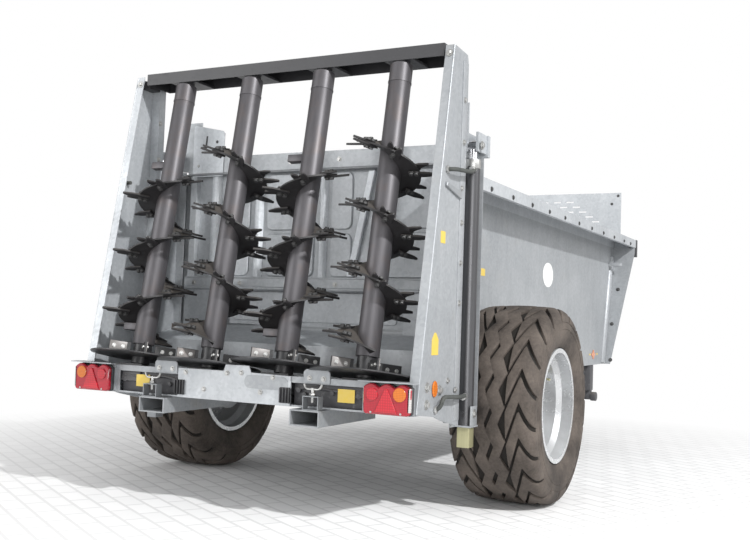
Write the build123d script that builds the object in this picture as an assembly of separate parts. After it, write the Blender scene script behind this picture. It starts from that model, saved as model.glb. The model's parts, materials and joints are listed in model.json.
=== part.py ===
"""Single-axle manure spreader with four upright beaters and a lifting rear gate.

Millimetres. X points to the machine's right, Y in the direction of travel, Z up from the ground.
Everything is drawn with the axle at Y = 0 and moved by axle_y when it is saved, so that the whole
machine's box is centred over the origin.
"""
import os
from math import asin, atan, cos, degrees, pi, radians, sin, tan

from build123d import *

os.makedirs("parts", exist_ok=True)

# ---- wheels and axle
tyre_radius = 510
tyre_width = 449
track_half = 1008.5          # middle of a tyre from the machine's middle
tyre_wall = 24
rim_radius = 294             # outer edge of the rim flange
rim_width = 400
rim_sheet = 8
bead_gap = 0.5               # tyre bead to rim
disc_inset = 215             # wheel disc behind the rim's outer flange
axle_size = 100              # square beam
axle_end = 640               # end of the square beam
spindle_radius = 32
drum_radius = 150
hub_gap = 0.5                # running clearance on the spindle

# ---- chassis
rail_x = 500
rail_width = 100
rail_height = 140
rail_wall = 6
axle_pad = 75                # axle beam to rail
rail_bottom = tyre_radius + axle_size / 2 + axle_pad
rail_front = 2800
bearer_height = 80
bearer_width = 60
bearer_wall = 5
bearer_ys = (-400, 60, 520, 980, 1440, 1900, 2360, 2770)
pad_half = 80
pad_wall = 12

# ---- drawbar, hitch and jack
hitch_z = 450
leg_width = 100
leg_height = 120
leg_wall = 7
leg_drop = 75                # legs below the rails
leg_top = rail_bottom - leg_drop
leg_rear = (rail_x, 2200)    # x, y of a drawbar leg's centre line at the rear
leg_front = (62, 4550)
head_length = 130
head_plate = 25
head_half = 115
head_margin = 5              # head above and below the legs
plate_half = 85
plate_bottom = hitch_z - 75
brace_y = (3340, 3420)
brace_half = 280
brace_margin = 20            # brace inside the legs' height
carrier_y = (2955, 3005)     # bearer of the drive shaft on the legs
carrier_half = 330
carrier_over = 40            # bearer above the shaft's axis
arm_length = 90              # jack's sleeve to the leg
arm_half = 35
arm_margin = 15
rear_pad_y = (leg_rear[1] + 10, leg_rear[1] + 230)
rear_pad_width = 70
front_pad_y = (leg_rear[1] + 500, leg_rear[1] + 575)
front_pad_reach = 105        # inwards from the rail, over the leg
stand_half = 235
stand_y = (-110, 90)         # foot plate from the pin
stand_foot = 12
cheek_x = (80, 100)
cheek_foot = (-100, 80)      # cheek's foot from the pin
cheek_half = 60
cheek_top_half = 30
cheek_over = 50              # cheek above the pin
hitch_bore = 25
eye_radius = 50
eye_height = 45
hitch_reach = 4950           # front of the eye
jack_x = -310
jack_y = 3950
jack_size = 80
jack_wall = 5
jack_gap = 0.5               # leg to sleeve on each side
jack_bottom = 400
jack_top = 950
jack_leg_top = 600
jack_foot = 200
jack_foot_plate = 15
crank_radius = 11
crank_reach = 110
crank_grip = 105

# ---- hull
wall_sheet = 5
wall_outer = 755
wall_bottom = rail_bottom - 10
floor_sheet = 5
floor_top = rail_bottom + rail_height + bearer_height + floor_sheet
hull_front = 2820            # at the wall's bottom
front_lean = 15.2            # degrees, the hull's front end leans forward
coaming_top = 1638
coaming_height = 64
coaming_outer = 935
coaming_sheet = 4
coaming_lip = 25
coaming_nose = 45            # the coaming reaches past the hull's leaning front
cap_drop = 70                # its end cap hangs below it
cap_sheet = 8
guard_half = 815
guard_top = 2030
guard_sheet = 3
guard_slot = (62, 10)        # length and height of a slot
guard_slot_step = 110
guard_row_step = 42
guard_rows = 7
guard_top_slots = 8          # each lower row has one slot more
guard_slot_margin = 70       # top row below the sheet's top

# ---- push wall and its telescopic cylinder
wall_gap = 8                 # push wall to the hull at each side
floor_gap = 5
push_rear = 2550             # rear face of the push wall at the floor, at rest
push_stroke = 2950
push_depth = 80
push_lug = 30                # the cylinder's lug stands out of the ribs
ram_height = 190             # cylinder's axis above the floor
ram_z = floor_top + ram_height
ram_clearance = 50           # barrel behind the push wall's lug
barrel_length = 1130
stage_length = 1070
ram_radii = (75, 61.5, 49, 36.5)   # outside of the barrel, the two tubes and the rod
ram_gap = 0.5                # between one tube and the next
ram_step = 12                # each tube starts this much behind the one round it
ram_pin = 20
pin_gap = 0.3

# ---- beater frame, gate and guides
lean = 10.44                 # degrees, the beaters lean forward
frame_half = 930             # outer face of the side plates
frame_sheet = 5
frame_above = 94.6           # side plates' tops above the beaters' tubes
flange_width = 45
beam_drop = 45               # underside of the top beam below the side plates' tops
beam_sheet = 6
post_size = 50
post_wall = 4
guide_web = 885              # inner face of the guide's web
guide_sheet = 5
guide_top = 1715
foot_stub = 60
gate_half = 860
gate_bottom = floor_top + 13
gate_top = 1800
gate_sheet = 5
gate_frame = 35
gate_lower_half = 540
gate_step = gate_bottom + 190    # underside of the gate's wide part
ram_x = 930
lift_barrel = (35, 29)
lift_rod = 20
lift_top = 1700
eye_z = 1768

# ---- beaters
beater_spacing = 425
beater_length = 1365
beater_tube = 54
beater_wall = 7
flight_radius = 150
flight_sheet = 8
flight_pitch = 300
flight_foot = 14             # along the beater's axis
tooth_reach = 232
tooth_step = 60              # degrees between teeth
disc_radius = 250
disc_sheet = 6
disc_drop = (62, 82)         # below the tube's end, alternating so that discs overlap
paddle_reach = 165
paddle_height = 62
hub_radius = 45
shaft_radius = 22
shaft_gap = 0.5
bearing_plate = 12
paddle_gap = 7               # paddle's inner end to the tube

# ---- rear cross-member and drive
cross_sheet = 5
recess_x = (315, 680)
panel_half = 316
gearbox_top = 105            # below the tube's end, along the beater's axis
gearbox_bottom = 190
gearbox_size = 146
drive_radius = 20
drive_front = 3100
stub_radius = 17.5
stub_length = 80
support_x = (350, 500)
support_height = 72
support_wall = 6
lamp_x = (705, 930)
lamp_depth = 45

# ---- places along the machine, from the axle backwards: each follows the tyre's rear edge
tyre_clearance = 20
guide_strip = -tyre_radius - tyre_clearance      # front face of the strip beside the cylinder
guide_rear = guide_strip + 15
guide_front = guide_strip + 80
gate_sheet_y = guide_strip + 65
ram_y = guide_strip - 55
hull_rear = guide_front
frame_front = guide_strip - 150
frame_rear_top = frame_front - 170               # rear edge of the side plate at its top
beam_front = frame_front + 30
foot_y = frame_front - 372                       # lower end of a beater's tube on its axis
cross_rear = frame_front - 485
cross_front = cross_rear + 200
lip_y = frame_front - 55                         # lower edge of the chute
rail_rear = lip_y
support_rear = cross_rear - 61
support_front = frame_front

# ---- heights at the rear, from the rails' underside
cross_bottom = rail_bottom - 115
cross_top = cross_bottom + 135
panel_top = cross_top + 17
drive_z = cross_bottom + 80
support_top = cross_bottom - 5
support_bottom = support_top - support_height
lamp_bottom = cross_bottom + 2
lamp_top = cross_top
foot_z = cross_bottom + 233
frame_top = foot_z + beater_length * cos(radians(lean)) + frame_above
guide_bottom = cross_bottom - 90
guide_low = floor_top                            # below this the guide keeps clear of the tyre
stub_bottom = guide_bottom - 95
lift_foot = guide_bottom + 20
lip_z = rail_bottom + rail_height + floor_sheet

# ---- the push wall's lug and what follows it
lug_y = push_rear + push_depth + (ram_z - floor_top - floor_gap) * tan(radians(front_lean)) + push_lug
barrel_rear = lug_y + ram_clearance
ram_pin_y = barrel_rear + barrel_length - 20

# the discs reach furthest back, the hitch eye furthest forward
disc_rear = foot_y - disc_drop[1] * sin(radians(lean))
rear_reach = disc_rear - disc_radius * cos(radians(lean)) - disc_sheet / 2 * sin(radians(lean))
axle_y = -(hitch_reach + rear_reach) / 2


def save(name, shape):
    """One STEP file per sub-part, moved so that the machine stands over the origin."""
    export_step(Pos(0, axle_y, 0) * shape, f"parts/{name}.step")


def block(x, y, z):
    """A box between two limits on each axis."""
    middle = Pos((x[0] + x[1]) / 2, (y[0] + y[1]) / 2, (z[0] + z[1]) / 2)
    return middle * Box(abs(x[1] - x[0]), abs(y[1] - y[0]), abs(z[1] - z[0]))


def both(shape):
    """The shape and its mirror image on the machine's other side."""
    return Compound(children=[*shape.solids(), *mirror(shape, about=Plane.YZ).solids()])


def side_prism(points, x):
    """An outline in Y and Z, drawn out between two X values."""
    face = make_face(Polyline(*[(py, pz) for py, pz in points], close=True))
    return Pos(min(x), 0, 0) * extrude(Plane.YZ * face, amount=abs(x[1] - x[0]))


def rod_y(radius, x, y, z):
    """A round bar along Y between two Y values."""
    bar = Cylinder(radius, abs(y[1] - y[0]), rotation=(90, 0, 0))
    return Pos(x, (y[0] + y[1]) / 2, z) * bar


def rod_z(radius, x, y, z):
    """A round bar along Z between two Z values."""
    return Pos(x, y, (z[0] + z[1]) / 2) * Cylinder(radius, abs(z[1] - z[0]))


def rod_x(radius, x, y, z):
    """A round bar along X between two X values."""
    bar = Cylinder(radius, abs(x[1] - x[0]), rotation=(0, 90, 0))
    return Pos((x[0] + x[1]) / 2, y, z) * bar


def lean_y(y, z, z0, angle):
    """Y on a line that leans forward by angle and passes y at height z0."""
    return y + (z - z0) * tan(radians(angle))


def turned(points, z):
    """A ring about the wheel's axis from an outline of (x, radius) points."""
    return Pos(0, 0, z) * revolve(make_face(Polyline(*points, close=True)), Axis.X)


# ---- wheels

def tyre():
    """Casing with a rounded tread and bulging side walls, open to the rim inside."""
    half = tyre_width / 2
    bead = rim_width / 2 - rim_sheet - bead_gap
    seat = rim_radius - 14

    def casing(shrink):
        crown = tyre_radius - shrink
        bulge = half - shrink
        shoulder = (half - 44 - shrink * 0.6, tyre_radius - 9 - shrink)
        foot = (bead - shrink * 0.9, seat)
        edge = (half - 12 - shrink, tyre_radius * 0.935 - shrink)
        toe = (foot[0], rim_radius + 3)
        middle = tyre_radius * 0.775
        edges = [
            Line((-foot[0], foot[1]), foot),
            Line(foot, toe),
            ThreePointArc(toe, (bulge, middle), edge),
            Line(edge, shoulder),
            ThreePointArc(shoulder, (0, crown), (-shoulder[0], shoulder[1])),
            Line((-shoulder[0], shoulder[1]), (-edge[0], edge[1])),
            ThreePointArc((-edge[0], edge[1]), (-bulge, middle), (-toe[0], toe[1])),
            Line((-toe[0], toe[1]), (-foot[0], foot[1])),
        ]
        return revolve(make_face(Wire(edges)), Axis.X)

    return Pos(track_half, 0, tyre_radius) * (casing(0) - casing(tyre_wall))


def rim():
    """Rolled rim with flanges, bead seats and a well, and its flat disc."""
    out = track_half + rim_width / 2
    inn = track_half - rim_width / 2
    seat = rim_radius - 14
    well = rim_radius - 42
    t = rim_sheet
    outline = [
        (inn, rim_radius), (inn, seat - t), (inn + 60, seat - t), (inn + 85, well - t), (out - 85, well - t),
        (out - 60, seat - t), (out, seat - t), (out, rim_radius), (out - t, rim_radius), (out - t, seat - bead_gap),
        (out - 58, seat - bead_gap), (out - 83, well), (inn + 83, well), (inn + 58, seat - bead_gap),
        (inn + t, seat - bead_gap), (inn + t, rim_radius),
    ]
    disc = out - disc_inset
    plate = [(disc, 85), (disc, well - t), (disc + 12, well - t), (disc + 12, 85)]
    return turned(outline, tyre_radius) + turned(plate, tyre_radius)


def hub():
    """Brake drum, hub barrel, flange against the wheel disc and grease cap, bored for the spindle."""
    disc = track_half + rim_width / 2 - disc_inset
    bore = spindle_radius + hub_gap
    outline = [
        (disc - 130, drum_radius), (disc - 130, drum_radius - 14), (disc - 45, drum_radius - 14),
        (disc - 45, 90), (disc - 100, 90), (disc - 100, bore), (disc + 60, bore), (disc + 60, 0),
        (disc + 85, 0), (disc + 85, 62), (disc + 12, 84.5), (disc, 84.5), (disc, drum_radius - 20),
        (disc - 14, drum_radius - 20), (disc - 14, drum_radius),
    ]
    return turned(outline, tyre_radius)


def axle():
    """Square beam with a spindle, a brake plate and a pad under each rail."""
    disc = track_half + rim_width / 2 - disc_inset
    z = (tyre_radius - axle_size / 2, tyre_radius + axle_size / 2)
    y = (-axle_size / 2, axle_size / 2)
    beam = block((-axle_end, axle_end), y, z)
    beam -= block((-axle_end + 60, axle_end - 60), (y[0] + 10, y[1] - 10), (z[0] + 10, z[1] - 10))
    for side in (1, -1):
        beam += rod_x(spindle_radius, (side * (axle_end - 20), side * (disc + 55)), 0, tyre_radius)
        beam += rod_x(58, (side * axle_end, side * (disc - 108)), 0, tyre_radius)
        beam += rod_x(drum_radius + 12, (side * (disc - 144), side * (disc - 136)), 0, tyre_radius)
        half = rail_width / 2
        pad = block((rail_x - half, rail_x + half), (-pad_half, pad_half), (z[1], rail_bottom))
        pad -= block((rail_x - half + 15, rail_x + half - 15), (-pad_half, pad_half),
                     (z[1] + pad_wall, rail_bottom - pad_wall))
        beam += pad if side > 0 else mirror(pad, about=Plane.YZ)
    return beam


# ---- chassis

def main_rails():
    y = (rail_rear, rail_front)
    z = (rail_bottom, rail_bottom + rail_height)
    w = rail_width / 2
    t = rail_wall
    rail = block((rail_x - w, rail_x + w), y, z)
    rail -= block((rail_x - w + t, rail_x + w - t), y, (z[0] + t, z[1] - t))
    return both(rail)


def cross_bearers():
    """Rectangular tubes across the rails that carry the floor."""
    z = (rail_bottom + rail_height, rail_bottom + rail_height + bearer_height)
    half = wall_outer - wall_sheet
    t = bearer_wall
    tubes = []
    for y in bearer_ys:
        y_span = (y - bearer_width / 2, y + bearer_width / 2)
        tube = block((-half, half), y_span, z)
        tube -= block((-half, half), (y_span[0] + t, y_span[1] - t), (z[0] + t, z[1] - t))
        tubes += tube.solids()
    return Compound(children=tubes)


def drawbar_leg(wall):
    """One leg of the drawbar, cut square in front; solid if its wall is 0."""
    dx = leg_rear[0] - leg_front[0]
    dy = leg_front[1] - leg_rear[1]
    length = (dx ** 2 + dy ** 2) ** 0.5
    spare = 40
    turn = degrees(asin(dx / length))
    leg = Box(leg_width, length + 2 * spare, leg_height)
    if wall:
        leg -= Box(leg_width - 2 * wall, length + 2 * spare, leg_height - 2 * wall)
    middle = Pos((leg_rear[0] + leg_front[0]) / 2, (leg_rear[1] + leg_front[1]) / 2, leg_top - leg_height / 2)
    leg = middle * (Rot(0, 0, turn) * leg)
    reach = leg_rear[0] + leg_width
    for y in ((leg_rear[1] - 2 * leg_width, leg_rear[1]), (leg_front[1], leg_front[1] + 2 * leg_width)):
        leg -= block((-reach, reach), y, (leg_top - 2 * leg_height, leg_top + leg_height))
    return leg


def drawbar_ties():
    """What joins the legs: head, brace, shaft carrier, pads under the rails and the jack's arm."""
    legs = both(drawbar_leg(0))
    bottom = leg_top - leg_height
    face = leg_front[1] + head_length
    head = block((-head_half, head_half), (leg_front[1], face), (bottom - head_margin, leg_top + head_margin))
    head += block((-plate_half, plate_half), (face, face + head_plate), (plate_bottom, leg_top + head_margin))
    brace = block((-brace_half, brace_half), brace_y, (bottom + brace_margin, leg_top - brace_margin)) - legs
    carrier = block((-carrier_half, carrier_half), carrier_y, (leg_top, drive_z + carrier_over))
    carrier -= rod_y(drive_radius + shaft_gap, 0, (carrier_y[0] - 10, carrier_y[1] + 10), drive_z)
    arm_x = jack_x + jack_size / 2
    arm_z = (bottom + arm_margin, leg_top - arm_margin)
    arm = block((arm_x, arm_x + arm_length), (jack_y - arm_half, jack_y + arm_half), arm_z) - legs
    edge = rail_x - rail_width / 2
    rear_pad = block((edge, edge + rear_pad_width), rear_pad_y, (leg_top, rail_bottom))
    front_pad = block((edge - front_pad_reach, edge + rail_width), front_pad_y, (leg_top, rail_bottom))
    solids = []
    for piece in (head, brace, carrier, arm, both(rear_pad), both(front_pad)):
        solids += piece.solids()
    return Compound(children=solids)


def ram_stand():
    """Foot plate on the legs and two cheeks with the pin of the telescopic cylinder."""
    foot = leg_top + stand_foot
    plate_y = (ram_pin_y + stand_y[0], ram_pin_y + stand_y[1])
    stand = block((-stand_half, stand_half), plate_y, (leg_top, foot))
    outline = [(ram_pin_y + cheek_foot[0], foot), (ram_pin_y + cheek_foot[1], foot),
               (ram_pin_y + cheek_half, ram_z), (ram_pin_y + cheek_top_half, ram_z + cheek_over),
               (ram_pin_y - cheek_top_half, ram_z + cheek_over), (ram_pin_y - cheek_half, ram_z)]
    for x in (cheek_x, (-cheek_x[1], -cheek_x[0])):
        stand += side_prism(outline, x)
    pin_half = cheek_x[1] + 10
    return stand + rod_x(ram_pin, (-pin_half, pin_half), ram_pin_y, ram_z)


def hitch_eye():
    """Bolted flange, shank and ring with an upright bore."""
    ring_y = hitch_reach - eye_radius
    face = leg_front[1] + head_length + head_plate
    flange = block((-75, 75), (face, face + 20), (hitch_z - 65, hitch_z + 65))
    shank = rod_y(28, 0, (face + 20, ring_y - eye_radius + 12), hitch_z)
    ring = rod_z(eye_radius, 0, ring_y, (hitch_z - eye_height / 2, hitch_z + eye_height / 2))
    return flange + shank + ring - rod_z(hitch_bore, 0, ring_y, (hitch_z - 60, hitch_z + 60))


def jack_sleeve():
    half = jack_size / 2
    z = (jack_bottom, jack_top)
    tube = block((jack_x - half, jack_x + half), (jack_y - half, jack_y + half), z)
    inner = half - jack_wall
    tube -= block((jack_x - inner, jack_x + inner), (jack_y - inner, jack_y + inner), z)
    cap = block((jack_x - half, jack_x + half), (jack_y - half, jack_y + half), (jack_top, jack_top + 12))
    reach, spindle_z, handle_z = jack_y + crank_reach, jack_top - 40, jack_top + crank_reach
    crank = rod_y(crank_radius - 2, jack_x, (jack_y + half, reach), spindle_z)
    crank += rod_z(crank_radius, jack_x, reach, (spindle_z - 20, handle_z + 20))
    crank += rod_y(crank_radius + 4, jack_x, (reach, reach + crank_grip), handle_z)
    return tube + cap + crank


def jack_leg():
    half = jack_size / 2 - jack_wall - jack_gap
    leg = block((jack_x - half, jack_x + half), (jack_y - half, jack_y + half), (jack_foot_plate, jack_leg_top))
    leg -= block((jack_x - half + 5, jack_x + half - 5), (jack_y - half + 5, jack_y + half - 5),
                 (jack_foot_plate, jack_leg_top))
    foot = jack_foot / 2
    plate = block((jack_x - foot, jack_x + foot), (jack_y - foot, jack_y + foot), (0, jack_foot_plate))
    return leg + plate


# ---- hull

def side_wall():
    """Sheet wall whose bottom is folded in and whose front end leans forward."""
    top = coaming_top - coaming_height
    front_top = lean_y(hull_front, top, wall_bottom, front_lean)
    outline = [(hull_rear, wall_bottom), (hull_front, wall_bottom), (front_top, top), (hull_rear, top)]
    sheet = side_prism(outline, (wall_outer - wall_sheet, wall_outer))
    fold = block((wall_outer - 70, wall_outer - wall_sheet), (hull_rear, hull_front - 5),
                 (wall_bottom, wall_bottom + wall_sheet))
    post = side_prism([(hull_rear, wall_bottom), (hull_rear + 4, wall_bottom), (hull_rear + 4, top), (hull_rear, top)],
                      (wall_outer, wall_outer + 15))
    return sheet + fold + post


def coaming():
    """Folded rim along the wall's top: cover, outer face with an inward lip, and an end cap."""
    z = (coaming_top - coaming_height, coaming_top)
    y = (hull_rear, lean_y(hull_front, coaming_top, wall_bottom, front_lean) + coaming_nose)
    t = coaming_sheet
    inner = wall_outer - wall_sheet
    rim_bar = block((inner, coaming_outer), y, (z[1] - t, z[1]))
    rim_bar += block((coaming_outer - t, coaming_outer), y, z)
    rim_bar += block((coaming_outer - coaming_lip, coaming_outer), y, (z[0], z[0] + t))
    rim_bar += block((inner, inner + wall_sheet), y, z)
    rim_bar += block((inner, coaming_outer), (y[1], y[1] + cap_sheet), (z[0] - cap_drop, z[1]))
    return rim_bar


def front_post():
    """Gusset that carries the coaming's front end, in the plane of the leaning front."""
    length = (coaming_top - coaming_height - wall_bottom) / cos(radians(front_lean))
    outline = [(wall_outer, 0), (wall_outer + 57, 0), (coaming_outer, length - 62), (coaming_outer, length - 2),
               (wall_outer, length - 2)]
    plate = extrude(Plane.XZ * make_face(Polyline(*outline, close=True)), amount=5)
    return Pos(0, hull_front, wall_bottom) * (Rot(-front_lean, 0, 0) * plate)


def hull_floor():
    half = wall_outer - wall_sheet
    return block((-half, half), (hull_rear, rail_front + 50), (floor_top - floor_sheet, floor_top))


def front_guard():
    """Cross bar between the coamings and a slotted sheet on three uprights."""
    y = lean_y(hull_front, coaming_top, wall_bottom, front_lean) - 20
    inner = wall_outer - wall_sheet
    z = coaming_top
    bar = block((-inner, inner), (y, y + 60), (z - 60, z))
    sheet = block((-guard_half, guard_half), (y, y + guard_sheet), (z + 2, guard_top))
    slots = []
    for row in range(guard_rows):
        count = guard_top_slots + row
        slot_z = guard_top - guard_slot_margin - row * guard_row_step
        for i in range(count):
            slot_x = (i - (count - 1) / 2) * guard_slot_step
            slots.append(Pos(slot_x, y + guard_sheet / 2, slot_z) * Box(guard_slot[0], guard_sheet * 3, guard_slot[1]))
    sheet -= slots
    uprights = [block((x - 20, x + 20), (y + guard_sheet, y + guard_sheet + 30), (z, guard_top - 20))
                for x in (-guard_half + 130, 0, guard_half - 130)]
    return bar + sheet + uprights


# ---- push wall and telescopic cylinder

def push_wall():
    """Leaning panel with ribs on its front side and a lug for the cylinder."""
    half = wall_outer - wall_sheet - wall_gap
    z = (floor_top + floor_gap, coaming_top - 75)
    rear = push_rear
    front_top = lean_y(rear, z[1], z[0], front_lean)
    outline = [(rear, z[0]), (rear + 6, z[0]), (front_top + 6, z[1]), (front_top, z[1])]
    wall = side_prism(outline, (-half, half))
    rib = [(rear + 6, z[0]), (rear + push_depth, z[0]), (front_top + push_depth, z[1]), (front_top + 6, z[1])]
    for x in (-half, -half * 0.5, -70, 60, half * 0.5, half - 10):
        wall += side_prism(rib, (x, x + 10))
    wall += block((-70, 70), (lug_y - push_lug - push_depth + 4, lug_y), (ram_z - 60, ram_z + 60))
    return wall


def ram_stage(index):
    """One tube of the telescopic cylinder; the last is the solid rod."""
    outer = ram_radii[index]
    y = (barrel_rear - ram_step * index, barrel_rear - ram_step * index + stage_length)
    if index == len(ram_radii) - 1:
        return rod_y(outer, 0, (lug_y, y[1]), ram_z)
    inner = ram_radii[index + 1] + ram_gap
    return rod_y(outer, 0, y, ram_z) - rod_y(inner, 0, (y[0] - 1, y[1] + 1), ram_z)


def ram_barrel():
    """Fixed tube of the telescopic cylinder, closed in front, with its eye and rear saddle."""
    outer = ram_radii[0]
    inner = ram_radii[1] + ram_gap
    y = (barrel_rear, barrel_rear + barrel_length)
    tube = rod_y(outer, 0, (y[0], y[1] - 45), ram_z) - rod_y(inner, 0, (y[0] - 1, y[1] - 60), ram_z)
    eye = block((-79, 79), (y[1] - 50, y[1] + 20), (ram_z - 40, ram_z + 40))
    eye -= rod_x(ram_pin + pin_gap, (-90, 90), ram_pin_y, ram_z)
    saddle_y = (y[0] + 5, y[0] + 40)
    saddle = block((-90, 90), saddle_y, (floor_top, ram_z)) - rod_y(outer, 0, (y[0], y[1]), ram_z)
    return tube + eye + saddle


# ---- beater frame

def side_plate():
    """Side sheet that leans forward at the rear, with its rear flange and front post."""
    foot = cross_bottom + cross_sheet
    rear_bottom = lean_y(frame_rear_top, foot, frame_top, lean)
    outline = [(rear_bottom, foot), (frame_rear_top, frame_top), (frame_front - 10, frame_top - 10),
               (frame_front, frame_top - 40), (frame_front, foot - 85), (frame_front - 204, foot - 44),
               (frame_front - 284, foot - 21)]
    sheet = side_prism(outline, (frame_half - frame_sheet, frame_half))
    flange_outline = [(rear_bottom, foot), (frame_rear_top, frame_top), (frame_rear_top + frame_sheet, frame_top),
                      (rear_bottom + frame_sheet, foot)]
    flange = side_prism(flange_outline, (frame_half - flange_width, frame_half - frame_sheet))
    inner = frame_half - frame_sheet
    post_z = (foot - 70, frame_top - 40)
    t = post_wall
    post = block((inner - post_size, inner), (frame_front - post_size, frame_front), post_z)
    post -= block((inner - post_size + t, inner - t), (frame_front - post_size + t, frame_front - t), post_z)
    return sheet + flange + post


def gate_guide():
    """Channel that holds the gate's edge, with the strip in front of the cylinder and its foot."""
    z = (guide_bottom, guide_top)
    web = (guide_web, guide_web + guide_sheet)
    t = guide_sheet
    high = (guide_low, guide_top)
    guide = block(web, (frame_front, guide_strip), z)
    guide += block(web, (guide_strip, guide_front), high)
    guide += block((wall_outer + 15, guide_web), (guide_front - t, guide_front), high)
    guide += block((guide_web - 50, guide_web), (guide_rear - t, guide_rear), high)
    guide += block((guide_web, ram_x + 35), (guide_strip - t, guide_strip), z)
    foot = block((guide_web, ram_x + 40), (ram_y - 40, guide_strip), (guide_bottom, guide_bottom + 8))
    half = foot_stub / 2
    stub = block((ram_x - half, ram_x + half), (ram_y - half, ram_y + half), (stub_bottom, guide_bottom))
    hollow = half - guide_sheet
    stub -= block((ram_x - hollow, ram_x + hollow), (ram_y - hollow, ram_y + hollow),
                  (stub_bottom, guide_bottom - guide_sheet))
    return guide + foot + stub


def top_crossbeam():
    """Dark folded beam between the side plates, open below, with end plates."""
    z = (frame_top - beam_drop, frame_top + 15)
    y = (frame_rear_top + 8, beam_front)
    t = beam_sheet
    inner = frame_half - frame_sheet
    half = inner - post_size - 2
    beam = block((-half, half), y, z) - block((t - half, half - t), (y[0] + t, y[1] - t), (z[0] - 1, z[1] - t))
    for side in (1, -1):
        beam += block((side * (half - 3), side * inner), (y[0] + 20, frame_front - post_size - 5),
                      (z[0] - 12, z[1] - 30))
    return beam


def upper_bearings():
    """Plate and boss that hold each beater's upper pin, set square to the beater."""
    parts = []
    for x in beater_xs:
        top = frame_top - beam_drop
        plate_y = (frame_rear_top + 8 + beam_sheet, beam_front - beam_sheet)
        plate = block((x - 75, x + 75), plate_y, (top, top + bearing_plate))
        boss = beater_place(x) * Pos(0, 0, beater_length + 28) * Cylinder(40, 48)
        boss -= block((x - 90, x + 90), (plate_y[0] - 100, plate_y[1] + 100), (top + bearing_plate, top + 200))
        bearing = plate + boss
        bearing -= beater_place(x) * Pos(0, 0, beater_length + 20) * Cylinder(shaft_radius + shaft_gap, 200)
        parts += bearing.solids()
    return Compound(children=parts)


# ---- beaters

def beater_place(x):
    return Pos(x, foot_y, foot_z) * Rot(-lean, 0, 0)


def beater(x, hand, start_angle, start_z):
    """Tube with pins, a single helical flight running down from start_z, and bolted teeth."""
    tube = Pos(0, 0, beater_length / 2) * Cylinder(beater_tube, beater_length)
    tube -= Pos(0, 0, beater_length / 2) * Cylinder(beater_tube - beater_wall, beater_length - 24)
    tube += Pos(0, 0, beater_length + 20) * Cylinder(shaft_radius, 44)
    top = (start_z - foot_z) / cos(radians(lean))
    height = top - flight_foot
    middle = (beater_tube - 4 + flight_radius) / 2
    helix = Helix(flight_pitch, height, middle, lefthand=hand < 0)
    section = Plane(origin=helix @ 0, z_dir=helix % 0, x_dir=(1, 0, 0))
    section *= Rectangle(flight_radius - beater_tube + 4, flight_sheet)
    flight = sweep(section, path=helix, is_frenet=True)
    slope = hand * degrees(atan(flight_pitch / (2 * pi * flight_radius)))
    turns = height / flight_pitch
    teeth = []
    count = int(turns * 360 / tooth_step) + 1
    for i in range(count):
        angle = turns * 360 - 8 - i * tooth_step
        z = angle / 360 * flight_pitch
        if z < 25:
            break
        inner = flight_radius - 35
        tooth = Pos((inner + tooth_reach) / 2, 0, z) * (Rot(slope, 0, 0) * Box(tooth_reach - inner, 36, 14))
        teeth.append(Rot(0, 0, hand * angle) * tooth)
    end_angle = hand * turns * 360
    spiral = Pos(0, 0, flight_foot) * (Rot(0, 0, start_angle - end_angle) * (flight + teeth))
    return beater_place(x) * (tube + spiral)


def beater_disc(x, drop):
    """Throwing disc with paddles, its hub and the shaft that enters the gearbox."""
    disc = Pos(0, 0, -drop) * Cylinder(disc_radius, disc_sheet)
    disc += Pos(0, 0, -drop / 2) * Cylinder(hub_radius, drop)
    disc += Pos(0, 0, -(drop + gearbox_top - 8) / 2) * Cylinder(hub_radius, gearbox_top - 8 - drop)
    disc += Pos(0, 0, -gearbox_top + 4) * Cylinder(shaft_radius, 24)
    bottom = -drop + disc_sheet / 2
    inner = beater_tube + paddle_gap
    for angle in (45, 135, 225, 315):
        paddle = Pos((inner + paddle_reach) / 2, 0, bottom + paddle_height / 2)
        disc += Rot(0, 0, angle) * paddle * Box(paddle_reach - inner, 8, paddle_height)
    return beater_place(x) * disc


def gear_housings():
    """Bevel boxes under the beaters, the tubes between them and the main box at the middle."""
    parts = None
    depth = gearbox_bottom - gearbox_top
    for x in beater_xs:
        case = Pos(0, 0, -gearbox_top - depth / 2) * Box(gearbox_size, gearbox_size, depth)
        case -= Pos(0, 0, -gearbox_top) * Cylinder(shaft_radius + shaft_gap, 20)
        case = beater_place(x) * case
        case += block((x - 50, x + 50), (cross_rear + 30, foot_y + 12), (cross_bottom + cross_sheet, drive_z - 25))
        parts = case if parts is None else parts + case
    middle = -gearbox_top - depth / 2
    shaft_y = foot_y + middle * sin(radians(lean))
    shaft_z = foot_z + middle * cos(radians(lean))
    end = beater_spacing * 1.5
    parts += rod_x(30, (-end, end), shaft_y, shaft_z)
    main_front = cross_rear + 205
    main = block((-105, 105), (cross_rear + 15, main_front), (drive_z - 58, drive_z + 34))
    main -= rod_y(drive_radius + shaft_gap, 0, (main_front - 50, main_front + 10), drive_z)
    return parts + main


def driveline():
    """Shaft from the front stub to the main gearbox."""
    rear = cross_rear + 165
    shoulder = drive_front - stub_length
    return rod_y(drive_radius, 0, (rear, shoulder), drive_z) + rod_y(stub_radius, 0, (shoulder, drive_front), drive_z)


def shaft_hangers():
    """Plates that hang the driveline from the bearers."""
    plates = []
    top = rail_bottom + rail_height
    for y in (bearer_ys[2], bearer_ys[5]):
        plate = block((-70, 70), (y - 12, y + 12), (drive_z - 42, top))
        plate -= rod_y(drive_radius + shaft_gap, 0, (y - 20, y + 20), drive_z)
        plates += plate.solids()
    return Compound(children=plates)


# ---- rear cross-member

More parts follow.
